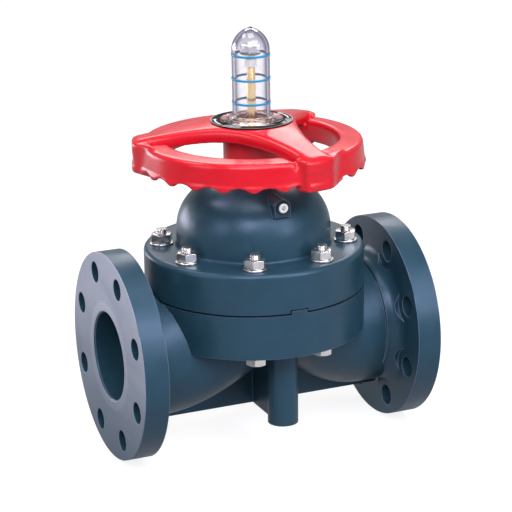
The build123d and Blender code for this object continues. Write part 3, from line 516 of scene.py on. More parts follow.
def moulded(
    name, colour, light, edge_highlight_colour, roughness, bump, edges=fine_edges, edge_highlight_share=0.45, specular=0.5
):
    """Moulded plastic or rubber, with its colours as 8-bit screen values: the colour drifts a little
    towards a lighter one in blotches, and on edges towards the edge highlight colour by the edge highlight
    share, a painted highlight along the rounded edges. The gloss drifts with the blotches. The grain and
    waves bump the rounded normal, to a depth in metres."""
    material, tree, shader = new_material(name)
    grain = placed(tree, skin)
    edge = placed(tree, edges)
    drift = ramp(tree, grain["Blotches"], high=0.35)
    base = blend_colours(tree, drift, srgb(*colour), srgb(*light))
    # Painted highlight: on rounded edges the colour turns towards the edge highlight colour
    edge_highlight = math_node(tree, "MULTIPLY", edge["Edge"], edge_highlight_share)
    gloss = ramp(tree, grain["Blotches"], low=roughness * 0.9, high=roughness * 1.12)
    tree.links.new(blend_colours(tree, edge_highlight, base, srgb(*edge_highlight_colour)), shader["Base Color"])
    tree.links.new(gloss, shader["Roughness"])
    tree.links.new(bumped(tree, grain["Height"], edge["Normal"], depth=bump), shader["Normal"])
    shader["Specular IOR Level"].default_value = specular
    return material


def valve_plastic():
    """The valve's blue-grey moulded plastic, with a painted highlight on its edges. Its joint faces, at
    both
    ends of the flow axis, are turned: paler, rubbed in streaks and marked with fine rings round the bore,
    and they carry a painted sheen that is lighter towards the top. Painted shade darkens the edges along
    the parting line between bonnet and body. Its shine is bluish except at a grazing angle."""
    # Height and reach of the band where painted shade darkens the edges along the parting line
    seam_middle = (body_top + 1) * MM
    seam_reach = 6 * MM
    face_roughness = 0.46
    face_share = 0.9
    material = moulded(
        "valve_plastic",
        (32, 61, 73),
        (40, 70, 83),
        (150, 160, 184),
        roughness=0.35,
        bump=0.00008,
        edges=body_edges,
        edge_highlight_share=0.62,
    )
    tree = material.node_tree
    shader = tree.nodes["Principled BSDF"].inputs
    rubbed = placed(tree, joint_faces)
    moulded_colour = shader["Base Color"].links[0].from_socket
    # Pale turned finish of the joint faces, with a painted sheen that is lighter towards the top
    pale = blend_colours(tree, rubbed["Streaks"], srgb(106, 117, 133), srgb(196, 199, 210))
    share = math_node(tree, "MULTIPLY", rubbed["Sheen"], face_share)
    faces_sheen_colour = blend_colours(tree, share, moulded_colour, pale)
    height = object_axes(tree, object_place(tree))["Z"]
    at_seam = math_node(tree, "COMPARE", height, seam_middle, seam_reach)
    edge = next(made for made in tree.nodes if made.type == "GROUP" and made.node_tree == body_edges)
    # Painted shade on the edges along the parting line between bonnet and body
    seam_shade = math_node(tree, "MULTIPLY", at_seam, edge.outputs["Edge"])
    tree.links.new(blend_colours(tree, seam_shade, faces_sheen_colour, srgb(8, 12, 18)), shader["Base Color"])
    moulded_gloss = shader["Roughness"].links[0].from_socket
    gloss = blend_numbers(tree, rubbed["Mask"], moulded_gloss, face_roughness)
    tree.links.new(gloss, shader["Roughness"])
    shader["Specular Tint"].default_value = (0.6, 0.72, 1.0, 1.0)
    return material


def metal(name, colour, dull, roughness):
    """Bare metal with tool marks, with its colours as 8-bit screen values: smudges dull its colour and its
    gloss, and streaks round the upright axis bump it."""
    material, tree, shader = new_material(name)
    marks = placed(tree, tool_marks, Streaks=(1.0, 1.0, 0.05))
    edge = placed(tree, fine_edges)
    gloss = ramp(tree, marks["Smudges"], low=roughness * 0.7, high=roughness * 1.4)
    smudged = blend_colours(tree, marks["Smudges"], srgb(*colour), srgb(*dull))
    tree.links.new(smudged, shader["Base Color"])
    tree.links.new(gloss, shader["Roughness"])
    mark_normal = bumped(tree, marks["Height"], edge["Normal"], depth=0.00002, strength=0.6)
    tree.links.new(mark_normal, shader["Normal"])
    shader["Metallic"].default_value = 1.0
    return material


def clear_plastic():
    """Clear acrylic with painted shade on its wall where the eye runs along it, for the surroundings seen
    through it, and a faint violet cast that is stronger in the crown. The flange at its foot stays clear."""
    wall_foot = (hub_top + 4) * MM
    wall_full = (hub_top + 7) * MM
    crown_foot = (cap_top - 24) * MM
    crown_full = (cap_top - 14) * MM
    material, tree, shader = new_material("clear_acrylic")
    height = object_axes(tree, object_place(tree))["Z"]
    above_flange = ramp(tree, height, start=wall_foot, end=wall_full)
    in_crown = ramp(tree, height, start=crown_foot, end=crown_full)
    facing = node(tree, "ShaderNodeLayerWeight", {"Blend": 0.5}).outputs["Facing"]
    along_wall = ramp(tree, facing, start=0.18, end=0.66, smooth=True)
    middle = blend_colours(tree, in_crown, srgb(246, 244, 248), srgb(230, 229, 238))
    # Painted shade along the wall at a grazing view, above the flange
    painted_wall_shade = math_node(tree, "MULTIPLY", along_wall, above_flange)
    tree.links.new(blend_colours(tree, painted_wall_shade, middle, srgb(64, 60, 88)), shader["Base Color"])
    shader["Roughness"].default_value = 0.02
    shader["IOR"].default_value = 1.49
    shader["Transmission Weight"].default_value = 1.0
    return material


body_plastic = valve_plastic()
# Red moulding; its pale pink edge colour is a painted highlight in bands along the rounded edges
wheel_red = moulded(
    "wheel_red",
    (204, 14, 32),
    (211, 22, 39),
    (248, 140, 138),
    roughness=0.23,
    bump=0.00003,
    edges=broad_edges,
    edge_highlight_share=0.6,
    specular=0.4,
)
silicone_red = moulded(
    "silicone_red", (206, 40, 50), (214, 50, 58), (230, 90, 94), roughness=0.4, bump=0.00002
)
compressor_plastic = moulded(
    "compressor_plastic", (96, 100, 104), (108, 112, 116), (150, 152, 156), roughness=0.45, bump=0.00006
)
thrust_plastic = moulded(
    "thrust_plastic", (214, 206, 186), (222, 214, 196), (236, 230, 216), roughness=0.4, bump=0.00003
)
rubber = moulded("rubber", (24, 24, 26), (32, 32, 34), (60, 60, 64), roughness=0.6, bump=0.00005)
plate_black = moulded(
    "plate_black", (8, 8, 10), (12, 12, 14), (20, 20, 22), roughness=0.6, bump=0.00001, specular=0.05
)
print_white = moulded(
    "print_white", (236, 234, 228), (228, 226, 220), (236, 234, 228), roughness=0.35, bump=0.00001
)
ring_blue = moulded(
    "ring_blue", (22, 136, 180), (32, 146, 190), (96, 184, 216), roughness=0.35, bump=0.00002
)
indicator_white = moulded(
    "indicator_white", (240, 238, 232), (234, 232, 226), (246, 244, 240), roughness=0.4, bump=0.00002
)
stainless = metal("stainless", (240, 236, 230), (196, 194, 194), roughness=0.22)
nipple_plating = metal("nipple_plating", (252, 252, 252), (238, 238, 238), roughness=0.45)
brass = metal("brass", (252, 232, 184), (232, 200, 142), roughness=0.22)
clear_acrylic = clear_plastic()

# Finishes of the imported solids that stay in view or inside
node_finishes = {
    "valve_body": body_plastic,
    "bonnet": body_plastic,
    "sleeve_retainer": body_plastic,
    "support_inserts": stainless,
    "stud_inserts": stainless,
    "diaphragm_stud": stainless,
    "compressor_pin": stainless,
    "stem": stainless,
    "wheel_nut": brass,
    "stem_sleeve": brass,
    "cushion": rubber,
    "stem_o_ring": rubber,
    "cap_o_ring": silicone_red,
    "compressor": compressor_plastic,
    "lower_thrust_ring": thrust_plastic,
    "upper_thrust_ring": thrust_plastic,
}
for node_name, finish in node_finishes.items():
    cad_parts[node_name].data.materials.clear()
    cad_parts[node_name].data.materials.append(finish)


# Fasteners between bonnet and body

nut_bottom = bonnet_flange_top + washer_thickness
nut_top = nut_bottom + nut_thickness
nut_bore = bolt_radius - 0.4
head_top = body_flange_bottom - washer_thickness
head_bottom = head_top - head_thickness
washer_rounds = (0.2, 0.5, 0.5, 0.2)
thread_bottom = nut_bottom - 6
bolt_tip_chamfer = 0.5
shank_in_head = 1.0


def washer(bottom):
    """Flat washer, from its bottom up."""
    top = bottom + washer_thickness
    return flat_ring(bolt_hole_radius, washer_radius, bottom, top, washer_rounds, steps=4)


def shank(bottom):
    """Plain round shank of a bolt or stud, from its bottom up to the thread."""
    return turned([(0, bottom), (bolt_radius, bottom), (bolt_radius, thread_bottom), (0, thread_bottom)])


nut = hex_piece(nut_flats, nut_bottom, nut_top, bore=nut_bore)
nuts = piece("bonnet_nut_set", at_bolts(nut), stainless, "valve")
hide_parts("bonnet_nuts")

upper_washers = at_bolts(washer(bonnet_flange_top))
upper = piece("upper_washer_set", upper_washers, stainless, "valve")
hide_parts("upper_washers")

lower_washers = at_bolts(washer(head_top), bolt_across_flow)
lower = piece("lower_washer_set", lower_washers, stainless, "valve")
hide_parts("lower_washers")

bolt_thread = threaded(bolt_radius, bolt_pitch, thread_bottom, bolt_tip, bolt_tip_chamfer)
bolt_shapes = (bolt_thread, shank(head_top - shank_in_head), hex_piece(nut_flats, head_bottom, head_top))
bolt_copies = [copy for shape in bolt_shapes for copy in at_bolts(shape, bolt_across_flow)]
bolts = piece("bonnet_bolt_set", bolt_copies, stainless, "valve")
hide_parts("bonnet_bolts")

stud_shapes = (bolt_thread, shank(stud_bottom))
stud_copies = [copy for shape in stud_shapes for copy in at_bolts(shape, ~bolt_across_flow)]
studs = piece("bonnet_stud_set", stud_copies, stainless, "valve")
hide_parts("bonnet_studs")

# Handwheel: its sizes and heights, in mm

wheel_radius = 97.0
rim_top = 183.0
rim_inner_radius = 76.0
rim_wall = 4.5
inner_wall_depth = 20.0
inner_wall_zone = 9.0
rim_fall = 1.5
skirt_bottom = 157.5
skirt_flare = 2.0
bead_height = 5.3
bead_width = 0.9
bead_slope = 1.6
scallop_count = 24
scallop_depth = 4.3
scallop_bump_share = 0.33
arm_direction = np.radians(-79.6)
arm_count = 3
tip_radius = 105.0
tip_half_width = 13.4
tip_fall = 13.0
arm_thickness = 12.0
waist_radius = 39.5
crown_radius = 37.0
lug_bottom = 156.0
lug_below_top = 2.0
lug_long_turn = np.radians(13.0)
lug_short_turn = np.radians(3.0)
lug_half_span = 36.0
groove_width = 3.5
groove_floor = 178.0
hub_bottom = 150.0
hub_boss_radius = 25.5
recess_radius = 22.0
recess_floor = 186.5
drive_half_width = 14.15
drive_flats = np.radians(30 + 60 * np.arange(3))
seal_groove_radius = 24.5
seal_groove_half = 1.05

# Radii of the handwheel's rounded edges and of the fillets between its parts
rim_top_round = 4.0
rim_inner_round = 4.5
rim_groove_round = 5.0
channel_round = 3.0
wall_round = 1.5
scallop_round = 1.2
arm_tip_round = 3.0
arm_top_round = 6.0
arm_bottom_round = 2.0
lug_face_round = 1.0
lug_flank_round = 2.0
lug_end_round = 1.5
arm_fillet = 3.0
lug_fillet = 1.0
wheel_fillet = 2.0

# Grid on which the handwheel's field is worked out
wheel_step = 1.2
wheel_reach = tip_radius + 3 * wheel_step
wheel_low = hub_bottom - 2.6
wheel_high = hub_top + 3.0


def scalloped_edge(turn):
    """Height of the skirt's lower edge: in each pitch a hollow arc over its middle share and a round bump
    at its ends. Both are circles, tangent to each other, and together their radii are
    (half pitch^2 + depth^2) / (2 depth)."""
    half_pitch = np.pi / scallop_count * wheel_radius
    both_radii = (half_pitch ** 2 + scallop_depth ** 2) / (2 * scallop_depth)
    bump = both_radii * scallop_bump_share
    hollow = both_radii - bump
    x = np.abs(np.mod(turn * scallop_count / (2 * np.pi) + 0.5, 1) - 0.5) * 2 * half_pitch
    in_hollow = scallop_depth - hollow + np.sqrt(np.maximum(hollow ** 2 - x ** 2, 0))
    on_bump = bump - np.sqrt(np.maximum(bump ** 2 - (half_pitch - x) ** 2, 0))
    return skirt_bottom + np.where(x < half_pitch * (1 - scallop_bump_share), in_hollow, on_bump)


def rim_field(r, turn, across, z, outer):
    """Rim: an upturned channel inside the skirt's outer radius, with scallops at its lower edge. Across
    each arm its top is cut down to the groove floor, and its inner wall ends above the skirt's edge."""
    roof = rim_top - rim_fall * np.clip((r - rim_inner_radius) / (wheel_radius - rim_inner_radius), 0, 1)
    rim = common(common(r - outer, z - roof, rim_top_round), rim_inner_radius - r, rim_inner_round)
    beside_arm = np.abs(across) - tip_half_width - groove_width
    rim = common(rim, -np.maximum(beside_arm, groove_floor - z), rim_groove_round)
    channel = common(np.maximum(r - outer, rim_inner_radius - r), z - roof, channel_round) + rim_wall
    rim = common(rim, -channel, wall_round)
    below_inner_wall = np.maximum(r - wheel_radius + inner_wall_zone, z - rim_top + inner_wall_depth)
    rim = common(rim, -below_inner_wall, wall_round)
    return common(rim, scalloped_edge(turn) - z, scallop_round)


def arm_field(r, along, across, z, top):
    """Arms: a plate under the arms' top, cut in plan to a star. Its hollow sides are circles through the
    waist that are tangent to the arms' straight sides."""
    half_pitch = np.pi / arm_count
    side_radius = (waist_radius * np.sin(half_pitch) - tip_half_width) / (1 - np.sin(half_pitch))
    side_centre = (tip_half_width + side_radius) / np.sin(half_pitch)
    side_along = side_centre * np.cos(half_pitch)
    side_across = side_centre * np.sin(half_pitch)
    star = side_radius - np.hypot(along - side_along, np.abs(across) - side_across)
    star = np.where(along > side_along, np.abs(across) - tip_half_width, star)
    arms = common(star, r - tip_radius, arm_tip_round)
    return common(common(arms, z - top, arm_top_round), top - arm_thickness - z, arm_bottom_round)


def lug_field(r, along, across, z, top, bead):
    """Lug at an arm's end: a block over the skirt, cut by a long and a short flank. Each flank is a plane
    from the arm's corner to a point on the skirt, turned away from that corner."""
    tip_along = np.sqrt(tip_radius ** 2 - tip_half_width ** 2)
    tip_turn = np.arctan2(tip_half_width, tip_along)
    lug = common(r - tip_radius - bead, wheel_radius - rim_wall - r, lug_face_round)
    for side, root_turn in ((1, tip_turn + lug_long_turn), (-1, tip_turn + lug_short_turn)):
        root = (wheel_radius - rim_wall / 2) * np.array([np.cos(root_turn), np.sin(root_turn)])
        run = np.array([tip_along, tip_half_width]) - root
        normal = np.array([-run[1], run[0]]) / np.linalg.norm(run)
        flank = (along - tip_along) * normal[0] + (side * across - tip_half_width) * normal[1]
        lug = common(lug, flank, lug_flank_round)
    lug = common(lug, np.maximum(lug_bottom - z, z - top + lug_below_top), lug_end_round)
    return np.maximum(lug, np.abs(across) - lug_half_span)


def hub_hollows(x, y, r, z):
    """What is cut from the hub: the cap's recess, the groove for its seal, and the drive's hexagon bore."""
    recess = np.maximum(r - recess_radius, recess_floor - z)
    groove_bottom = hub_top - 2 * seal_groove_half
    groove = np.maximum(np.abs(r - seal_groove_radius) - seal_groove_half, groove_bottom - z)
    flats = drive_flats[:, None, None, None]
    bore = np.abs(x * np.cos(flats) + y * np.sin(flats)).max(0) - drive_half_width
    return np.minimum(np.minimum(recess, groove), bore)


def wheel_field(x, y, z):
    """Distance field of the handwheel, in its own axes: negative inside.
    All arms are folded on to one, along its middle line and across it. The skirt flares evenly from the
    rim's edge to the bead, and the arms' top falls as a shallow cone from the crown radius to the tip. Rim,
    arms, lugs and hub are smooth unions, and the hub's hollows are cut from them."""
    r = np.hypot(x, y)
    turn = np.arctan2(y, x)
    pitch = 2 * np.pi / arm_count
    folded = np.mod(turn - arm_direction + pitch / 2, pitch) - pitch / 2
    along = r * np.cos(folded)
    across = r * np.sin(folded)

    rim_edge = rim_top - rim_fall
    bead_top = skirt_bottom + bead_height
    flare = skirt_flare * np.clip((rim_edge - z) / (rim_edge - bead_top), 0, 1)
    bead = bead_width * np.clip((bead_top - z) / bead_slope + 0.5, 0, 1)
    top = hub_top - tip_fall * np.clip((r - crown_radius) / (tip_radius - crown_radius), 0, 1)

    rim = rim_field(r, turn, across, z, wheel_radius + flare + bead)
    arms = arm_field(r, along, across, z, top)
    lug = lug_field(r, along, across, z, top, bead)
    hub = np.maximum(np.maximum(r - hub_boss_radius, hub_bottom - z), z - hub_top + arm_thickness / 2)
    wheel = joined(joined(rim, arms, arm_fillet), joined(lug, hub, lug_fillet), wheel_fillet)
    return np.maximum(wheel, -hub_hollows(x, y, r, z))


x_line = np.arange(-wheel_reach, wheel_reach, wheel_step)
z_line = np.arange(wheel_low, wheel_high, wheel_step)
wheel_grid = np.meshgrid(x_line, x_line, z_line, indexing="ij")
wheel_skin = field_surface(wheel_field(*wheel_grid), (x_line[0], x_line[0], z_line[0]), wheel_step)
wheel = piece("handwheel_moulded", on_stem(wheel_skin), wheel_red, "wheel", sharp_above=180)
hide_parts("handwheel")

# Gauge cap and indicator

cap_spigot_radius = 21.85
cap_spigot_bottom = hub_top - 4.2
cap_flange_radius = 28.0
cap_flange_top = hub_top + 2.5
cap_step_radius = 20.5
cap_step_top = hub_top + 4.5
crown_tip_share = 0.17
crown_rise = 20.0
crown_points = 33
crown_spacing = 0.9
nub_radius = 1.6


def crown_height(share):
    """Height of a pointed dome with a round tip, over its radius 1: sqrt(1 - s^1.5), where
    s^2 = r^2 + k^2 (1 - r^2) and k is the tip's share."""
    eased = np.sqrt(share ** 2 + crown_tip_share ** 2 * (1 - share ** 2))
    return np.sqrt(np.maximum(1 - eased ** 1.5, 0))


cap_shoulder = cap_top - cap_tip - crown_rise * crown_height(0.0)


def pointed_crown(radius, rise):
    """Crown profile from its shoulder in to the axis: the radius falls as cos(u)^0.9, where u goes evenly
    from 0 to a quarter turn."""
    share = np.cos(np.linspace(0, np.pi / 2, crown_points)) ** crown_spacing
    return np.stack([radius * share, cap_shoulder + rise * crown_height(share)], -1)


cap_wall = softened(
    [
        (cap_inner, cap_shoulder, 0),
        (cap_inner, cap_spigot_bottom, 0.4),
        (cap_spigot_radius, cap_spigot_bottom, 0.5),
        (cap_spigot_radius, hub_top, 0),
        (cap_flange_radius, hub_top, 0.4),
        (cap_flange_radius, cap_flange_top, 1.0),
        (cap_step_radius, cap_flange_top, 0.8),
        (cap_step_radius, cap_step_top, 1.0),
        (cap_radius, cap_step_top, 1.5),
        (cap_radius, cap_shoulder, 0),
    ],
    steps=8,
)
inner_crown = pointed_crown(cap_inner, crown_rise - cap_radius + cap_inner)[::-1]
outer_crown = pointed_crown(cap_radius, crown_rise)
nub = [
    (nub_radius, cap_top - cap_tip),
    (nub_radius - 0.2, cap_top - 0.25),
    (nub_radius / 2, cap_top - 0.05),
    (0, cap_top),
]
below_nub = outer_crown[outer_crown[:, 0] > nub_radius]
cap_profile = np.concatenate([inner_crown, cap_wall[1:-1], below_nub, nub])
cap_skin = turned(cap_profile, segments=128)
cap = piece("gauge_cap_clear", on_stem(cap_skin), clear_acrylic, "wheel")
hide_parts("gauge_cap")

ring_half = 1.0
ring_inner = cap_radius - 0.8
ring_outer = cap_radius + 0.45
ring_rounds = (0, 0.4, 0.4, 0)
ring = flat_ring(ring_inner, ring_outer, -ring_half, ring_half, ring_rounds, segments=128)
ring_copies = [moved(ring, stem_x, 0, open_mark - share * stroke) for share in (0, 0.5, 1)]
rings = piece("gauge_ring_set", ring_copies, ring_blue, "wheel")
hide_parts("gauge_rings")

rod_pitch = 1.25
rod_tip_chamfer = 0.8
rod_plain_top = open_mark - 24
rod_thread_bottom = rod_plain_top - 1
rod_section = [
    (0, rod_bottom, 0),
    (rod_radius, rod_bottom, 0.5),
    (rod_radius, rod_plain_top, 0.8),
    (0, rod_plain_top, 0),
]
rod_plain = turned(softened(rod_section), segments=64)
rod_thread = threaded(rod_radius, rod_pitch, rod_thread_bottom, rod_top, rod_tip_chamfer, segments=48)
rod = piece("indicator_rod_turned", on_stem(rod_plain, rod_thread), brass, "stem_train")
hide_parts("indicator_rod")

collar_radius = 5.2
collar_bottom = open_mark - 11
collar_top = collar_bottom + 7
collar_rounds = (0, 0.6, 0.6, 0)
collar_skin = on_stem(flat_ring(rod_radius, collar_radius, collar_bottom, collar_top, collar_rounds))
collar = piece("indicator_collar_turned", collar_skin, indicator_white, "stem_train")
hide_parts("indicator_collar")

pointer_top = open_mark + 8.5
pointer_bore = rod_radius - 0.3
pointer_skin = on_stem(hex_piece(nut_flats, open_mark, pointer_top, bore=pointer_bore))
pointer_nut = piece("indicator_nut_chamfered", pointer_skin, stainless, "stem_train")
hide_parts("indicator_nut")

# Name plate and its print

plate_inner = 28.5
plate_outer = 36.0
plate_middle = (plate_inner + plate_outer) / 2
plate_top = hub_top + 1.2
plate_rounds = (0, 0, 0.4, 0.4)
print_level = plate_top + 0.05
border_outer = plate_outer - 0.2
border_inner = plate_outer - 0.6
letter_width = 2.9
letter_height = 4.4
letter_gap = 1.7
letter_weight = 0.85
letter_foot = plate_middle - letter_height / 2
arrow_shaft_half = 0.7
arrow_head_half = 2.3
arrow_head_turn = 7
plate_skin = on_stem(flat_ring(plate_inner, plate_outer, hub_top, plate_top, plate_rounds, segments=144))
plate = piece("name_plate_ring", plate_skin, plate_black, "wheel")
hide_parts("name_plate")


def band(turn_start, turn_end, inner_start, outer_start, inner_end, outer_end, steps=24):
    """Flat printed band on the plate, between turns in degrees, with radii that change evenly along it."""
    share = np.linspace(0, 1, steps + 1)[:, None]
    turn = np.radians(turn_start + (turn_end - turn_start) * share)
    inner = inner_start + (inner_end - inner_start) * share
    outer = outer_start + (outer_end - outer_start) * share
    r = np.concatenate([inner, outer], 1)
    points = np.stack([r * np.cos(turn), r * np.sin(turn), print_level + 0 * r], -1)
    return surface(points, wrap_columns=False)


def stroke_band(start, end, width):
    """Straight printed stroke: a strip on both sides of its line, and half its width past both ends."""
    start = np.array(start, float)
    end = np.array(end, float)
    along = (end - start) / np.linalg.norm(end - start)
    across = np.array([-along[1], along[0]]) * width / 2
    ends = np.array([start - along * width / 2, end + along * width / 2])
    return np.stack([ends - across, ends + across], 1)


# Letters as lines through points, in a box one wide and one high
letters = {
    "O": [[(0, 0), (1, 0), (1, 1), (0, 1), (0, 0)]],
    "P": [[(0, 0), (0, 1), (1, 1), (1, 0.5), (0, 0.5)]],
    "E": [[(0, 0), (0, 1), (1, 1)], [(0, 0.5), (0.8, 0.5)], [(0, 0), (1, 0)]],
    "N": [[(0, 0), (0, 1), (1, 0), (1, 1)]],
    "S": [[(0, 0), (1, 0), (1, 0.5), (0, 0.5), (0, 1), (1, 1)]],
    "H": [[(0, 0), (0, 1)], [(1, 0), (1, 1)], [(0, 0.5), (1, 0.5)]],
    "U": [[(0, 1), (0, 0), (1, 0), (1, 1)]],
    "T": [[(0.5, 0), (0.5, 1)], [(0, 1), (1, 1)]],
}


def word(text, middle_turn):
    """A word round the plate, read from outside. A letter's point (x, y) lies at the radius of its foot
    plus y, turned back by x over the plate's middle radius."""
    length = len(text) * (letter_width + letter_gap) - letter_gap
    shapes = []
    for place, letter in enumerate(text):
        left = place * (letter_width + letter_gap) - length / 2
        strokes = [ends for line in letters[letter] for ends in zip(line, line[1:])]
        for ends in strokes:
            scaled = [(left + x * letter_width, y * letter_height) for x, y in ends]
            flat = stroke_band(*scaled, letter_weight)
            r = letter_foot + flat[..., 1]
            turn = np.radians(middle_turn) - flat[..., 0] / plate_middle
            points = np.stack([r * np.cos(turn), r * np.sin(turn), print_level + 0 * r], -1)
            shapes.append(surface(points, wrap_columns=False))
    return shapes


def even_band(turn_start, turn_end, inner, outer, steps=24):
    """Flat printed band between two radii."""
    return band(turn_start, turn_end, inner, outer, inner, outer, steps)


def arrow(tail_turn, head_turn):
    """Curved arrow: an even band that ends in a head narrowing to a point."""
    neck_turn = head_turn - np.sign(head_turn - tail_turn) * arrow_head_turn
    head = (plate_middle - arrow_head_half, plate_middle + arrow_head_half, plate_middle, plate_middle)
    return [
        even_band(tail_turn, neck_turn, plate_middle - arrow_shaft_half, plate_middle + arrow_shaft_half),
        band(neck_turn, head_turn, *head, steps=4),
    ]


print_marks = on_stem(
    even_band(0, 360, border_inner, border_outer, steps=144),
    *word("OPEN", middle_turn=-40),
    *arrow(tail_turn=-18, head_turn=22),
    *word("SHUT", middle_turn=-146),
    *arrow(tail_turn=-168, head_turn=-208),
)
piece("name_plate_print", print_marks, print_white, "wheel", closed=False)

# Grease nipple

nipple_radius = 4.3
nipple_length = 2.0
nipple_shank_radius = 3.5
nipple_shank_length = 8
ball_radius = 1.6
ball_floor = 0.4
seal_radius = 6.0
seal_thickness = 1.6
seal_rounds = (0, 0, 0.6, 0.2)


def at_nipple(shape):
    """The surface, facing the front on the boss of the dome."""
    return [moved(facing_front(shape), stem_x, nipple_face, nipple_height)]


nipple_profile = softened(
    [
        (0, -nipple_shank_length, 0),
        (nipple_shank_radius, -nipple_shank_length, 0),
        (nipple_shank_radius, 0, 0),
        (nipple_radius, 0, 0.3),
        (nipple_radius, nipple_length, 0.5),
        (ball_radius + 0.3, nipple_length, 0.4),
        (ball_radius, ball_floor, 0),
        (0, ball_floor, 0),
    ]
)
nipple_skin = at_nipple(turned(nipple_profile, segments=72))
nipple = piece("grease_nipple_turned", nipple_skin, nipple_plating, "valve")
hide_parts("grease_nipple")

half_turn = np.linspace(-np.pi / 2, np.pi / 2, 25)
ball_profile = np.stack([ball_radius * np.cos(half_turn), ball_floor + ball_radius * np.sin(half_turn)], -1)
ball_skin = at_nipple(turned(ball_profile, segments=48))
ball = piece("nipple_ball_round", ball_skin, stainless, "valve")
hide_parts("nipple_ball")

seal_skin = at_nipple(flat_ring(nipple_radius, seal_radius, 0, seal_thickness, seal_rounds, segments=72))
seal = piece("nipple_seal_ring", seal_skin, rubber, "valve")
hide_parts("nipple_seal")

# Diaphragm

diaphragm_points = 48
clamped_radius = chamber_radius + 0.5
diaphragm_high_centre = diaphragm_low_centre + diaphragm_web


def blend_height(share):
    """Inverse of the smooth step 3 t^2 - 2 t^3, which is 1/2 - sin(asin(1 - 2 share) / 3).
    A face shaped with it moves in proportion to the share when the blend's own smooth step is applied."""
    return 0.5 - np.sin(np.arcsin(1 - 2 * share) / 3)


def diaphragm_face(rim_level, centre_level):
    """Dome profile from the centre out: the share of the rise left at radius r is
    1 - (r / chamber radius)^2."""
    r = np.linspace(0, chamber_radius, diaphragm_points)
    rise = blend_height(1 - (r / chamber_radius) ** 2)
    return np.stack([r, rim_level + (centre_level - rim_level) * rise], -1)


wet_profile = np.concatenate(
    [
        diaphragm_face(diaphragm_floor, diaphragm_low_centre),
        [(clamped_radius, diaphragm_floor), (diaphragm_radius, diaphragm_floor)],
    ]
)
wet_skin = on_stem(turned(wet_profile))
wet_face = piece("diaphragm_wet_face", wet_skin, rubber, "valve", closed=False)
wet_face.parent = None
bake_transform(wet_face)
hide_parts("diaphragm")

back_profile = np.concatenate(
    [
        diaphragm_face(diaphragm_roof, diaphragm_high_centre),
        [(diaphragm_radius, diaphragm_roof), (diaphragm_radius, diaphragm_floor)],
    ]
)
back_skin = on_stem(turned(back_profile))
back_face = piece("diaphragm_back_face", back_skin, rubber, "valve", closed=False)
back_face.parent = None
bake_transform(back_face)

# Floor, light and camera

floor_half = 20.0
floor_gap = 0.2
paper_mirrored = 0.4
paper_glow = 0.85
backdrop_mirrored = 0.25
backdrop_light = 0.22
aim_height = 60


def seen_share(tree, mirrored_share):
    """1 where the camera or a clear piece sees a surface, and the given share where a reflection does."""
    path = node(tree, "ShaderNodeLightPath").outputs
    seen = math_node(tree, "MAXIMUM", path["Is Camera Ray"], path["Is Transmission Ray"])
    mirrored = math_node(tree, "MULTIPLY", path["Is Glossy Ray"], mirrored_share)
    return math_node(tree, "MAXIMUM", seen, mirrored)


def paper_floor():
    """White paper: the camera, reflections and clear pieces see it lifted to white, with a soft shadow."""
    material, tree, shader = new_material("paper_floor")
    shader["Base Color"].default_value = srgb(140, 140, 142)
    shader["Roughness"].default_value = 0.9
    shader["Specular IOR Level"].default_value = 0.0
    shader["Emission Color"].default_value = (1.0, 1.0, 1.0, 1.0)
    glow = math_node(tree, "MULTIPLY", seen_share(tree, paper_mirrored), paper_glow)
    tree.links.new(glow, shader["Emission Strength"])
    return material


floor_mesh = bpy.data.meshes.new("floor")
floor_corners = [
    (x * floor_half, y * floor_half, (floor_level - floor_gap) * MM)
    for x, y in ((-1, -1), (1, -1), (1, 1), (-1, 1))
]
floor_mesh.from_pydata(floor_corners, [], [(0, 1, 2, 3)])
floor_mesh.materials.append(paper_floor())
floor = bpy.data.objects.new("floor", floor_mesh)
bpy.context.scene.collection.objects.link(floor)

# The backdrop is white where it is seen and dimmer where it only lights the valve
world = bpy.data.worlds.new("studio")
bpy.context.scene.world = world
world.use_nodes = True
world_tree = world.node_tree
backdrop = world_tree.nodes["Background"].inputs
backdrop["Color"].default_value = (0.97, 0.98, 1.0, 1.0)
backdrop_seen = seen_share(world_tree, backdrop_mirrored)
world_tree.links.new(ramp(world_tree, backdrop_seen, low=backdrop_light), backdrop["Strength"])

aim = Vector((stem_x * MM, 0, aim_height * MM))


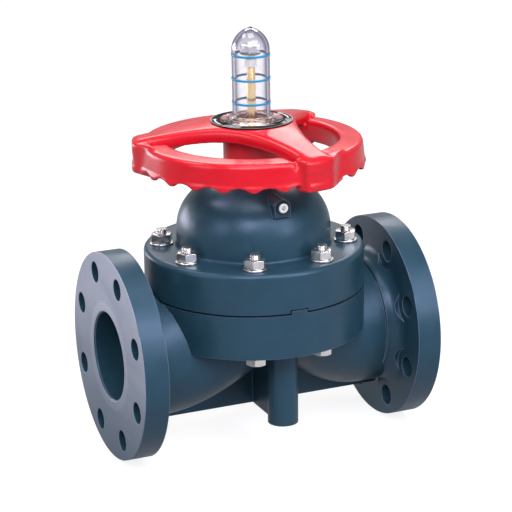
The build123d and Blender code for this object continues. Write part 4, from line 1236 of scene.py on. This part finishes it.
def softbox(name, place, size, power, colour):
    """Rectangular lamp that faces the valve. Place and size are in metres, and power is in watts."""
    lamp = bpy.data.lights.new(name, "AREA")
    lamp.shape = "RECTANGLE"
    lamp.size, lamp.size_y = size
    lamp.energy = power
    lamp.color = colour
    holder = bpy.data.objects.new(name, lamp)
    bpy.context.scene.collection.objects.link(holder)
    holder.location = place
    holder.rotation_euler = (aim - Vector(place)).to_track_quat("-Z", "Y").to_euler()
    return holder


softbox("key_softbox", (0.1, -1.25, 1.3), size=(2.0, 0.8), power=32, colour=(0.84, 0.87, 1.0))
softbox("front_right_softbox", (1.0, -1.6, 0.75), size=(0.7, 0.9), power=13, colour=(0.8, 0.85, 1.0))
softbox("overhead_softbox", (0.1, -0.25, 2.0), size=(1.0, 0.8), power=12, colour=(0.96, 0.96, 1.0))
softbox("left_softbox", (-1.7, -0.5, 0.9), size=(0.8, 0.8), power=7, colour=(0.84, 0.87, 1.0))
softbox("back_left_softbox", (-1.05, 1.75, 0.18), size=(1.4, 0.5), power=16, colour=(0.94, 0.92, 1.0))
softbox("back_right_softbox", (0.98, 1.7, 1.32), size=(1.6, 0.5), power=15, colour=(1.0, 0.95, 0.93))
softbox("front_left_softbox", (-0.75, -1.35, 1.15), size=(0.7, 0.5), power=7, colour=(0.92, 0.88, 1.0))
softbox("upper_left_softbox", (-0.85, 0.75, 2.0), size=(0.7, 0.6), power=11, colour=(0.97, 0.92, 1.0))

# Camera at the photograph's angle: its sensor in mm, its focal length in pixels, and its distance in metres
sensor_width = 36.0
image_width = 512
focal_pixels = 2040.98
camera_target = Vector((142.046, 0, 72.446)) * MM
camera_distance = 1.8212
camera_azimuth = np.radians(-23.094)
camera_elevation = np.radians(17.354)
camera_roll = np.radians(-0.925)
camera_data = bpy.data.cameras.new("camera")
camera_data.sensor_width = sensor_width
camera_data.lens = sensor_width * focal_pixels / image_width
camera = bpy.data.objects.new("camera", camera_data)
bpy.context.scene.collection.objects.link(camera)
turning = (
    Matrix.Rotation(camera_azimuth, 4, "Z")
    @ Matrix.Rotation(np.pi / 2 - camera_elevation, 4, "X")
    @ Matrix.Rotation(camera_roll, 4, "Z")
)
back = turning.col[2].xyz
camera.matrix_world = Matrix.Translation(camera_target + back * camera_distance) @ turning
bpy.context.scene.camera = camera

bpy.context.scene.view_settings.view_transform = "Standard"
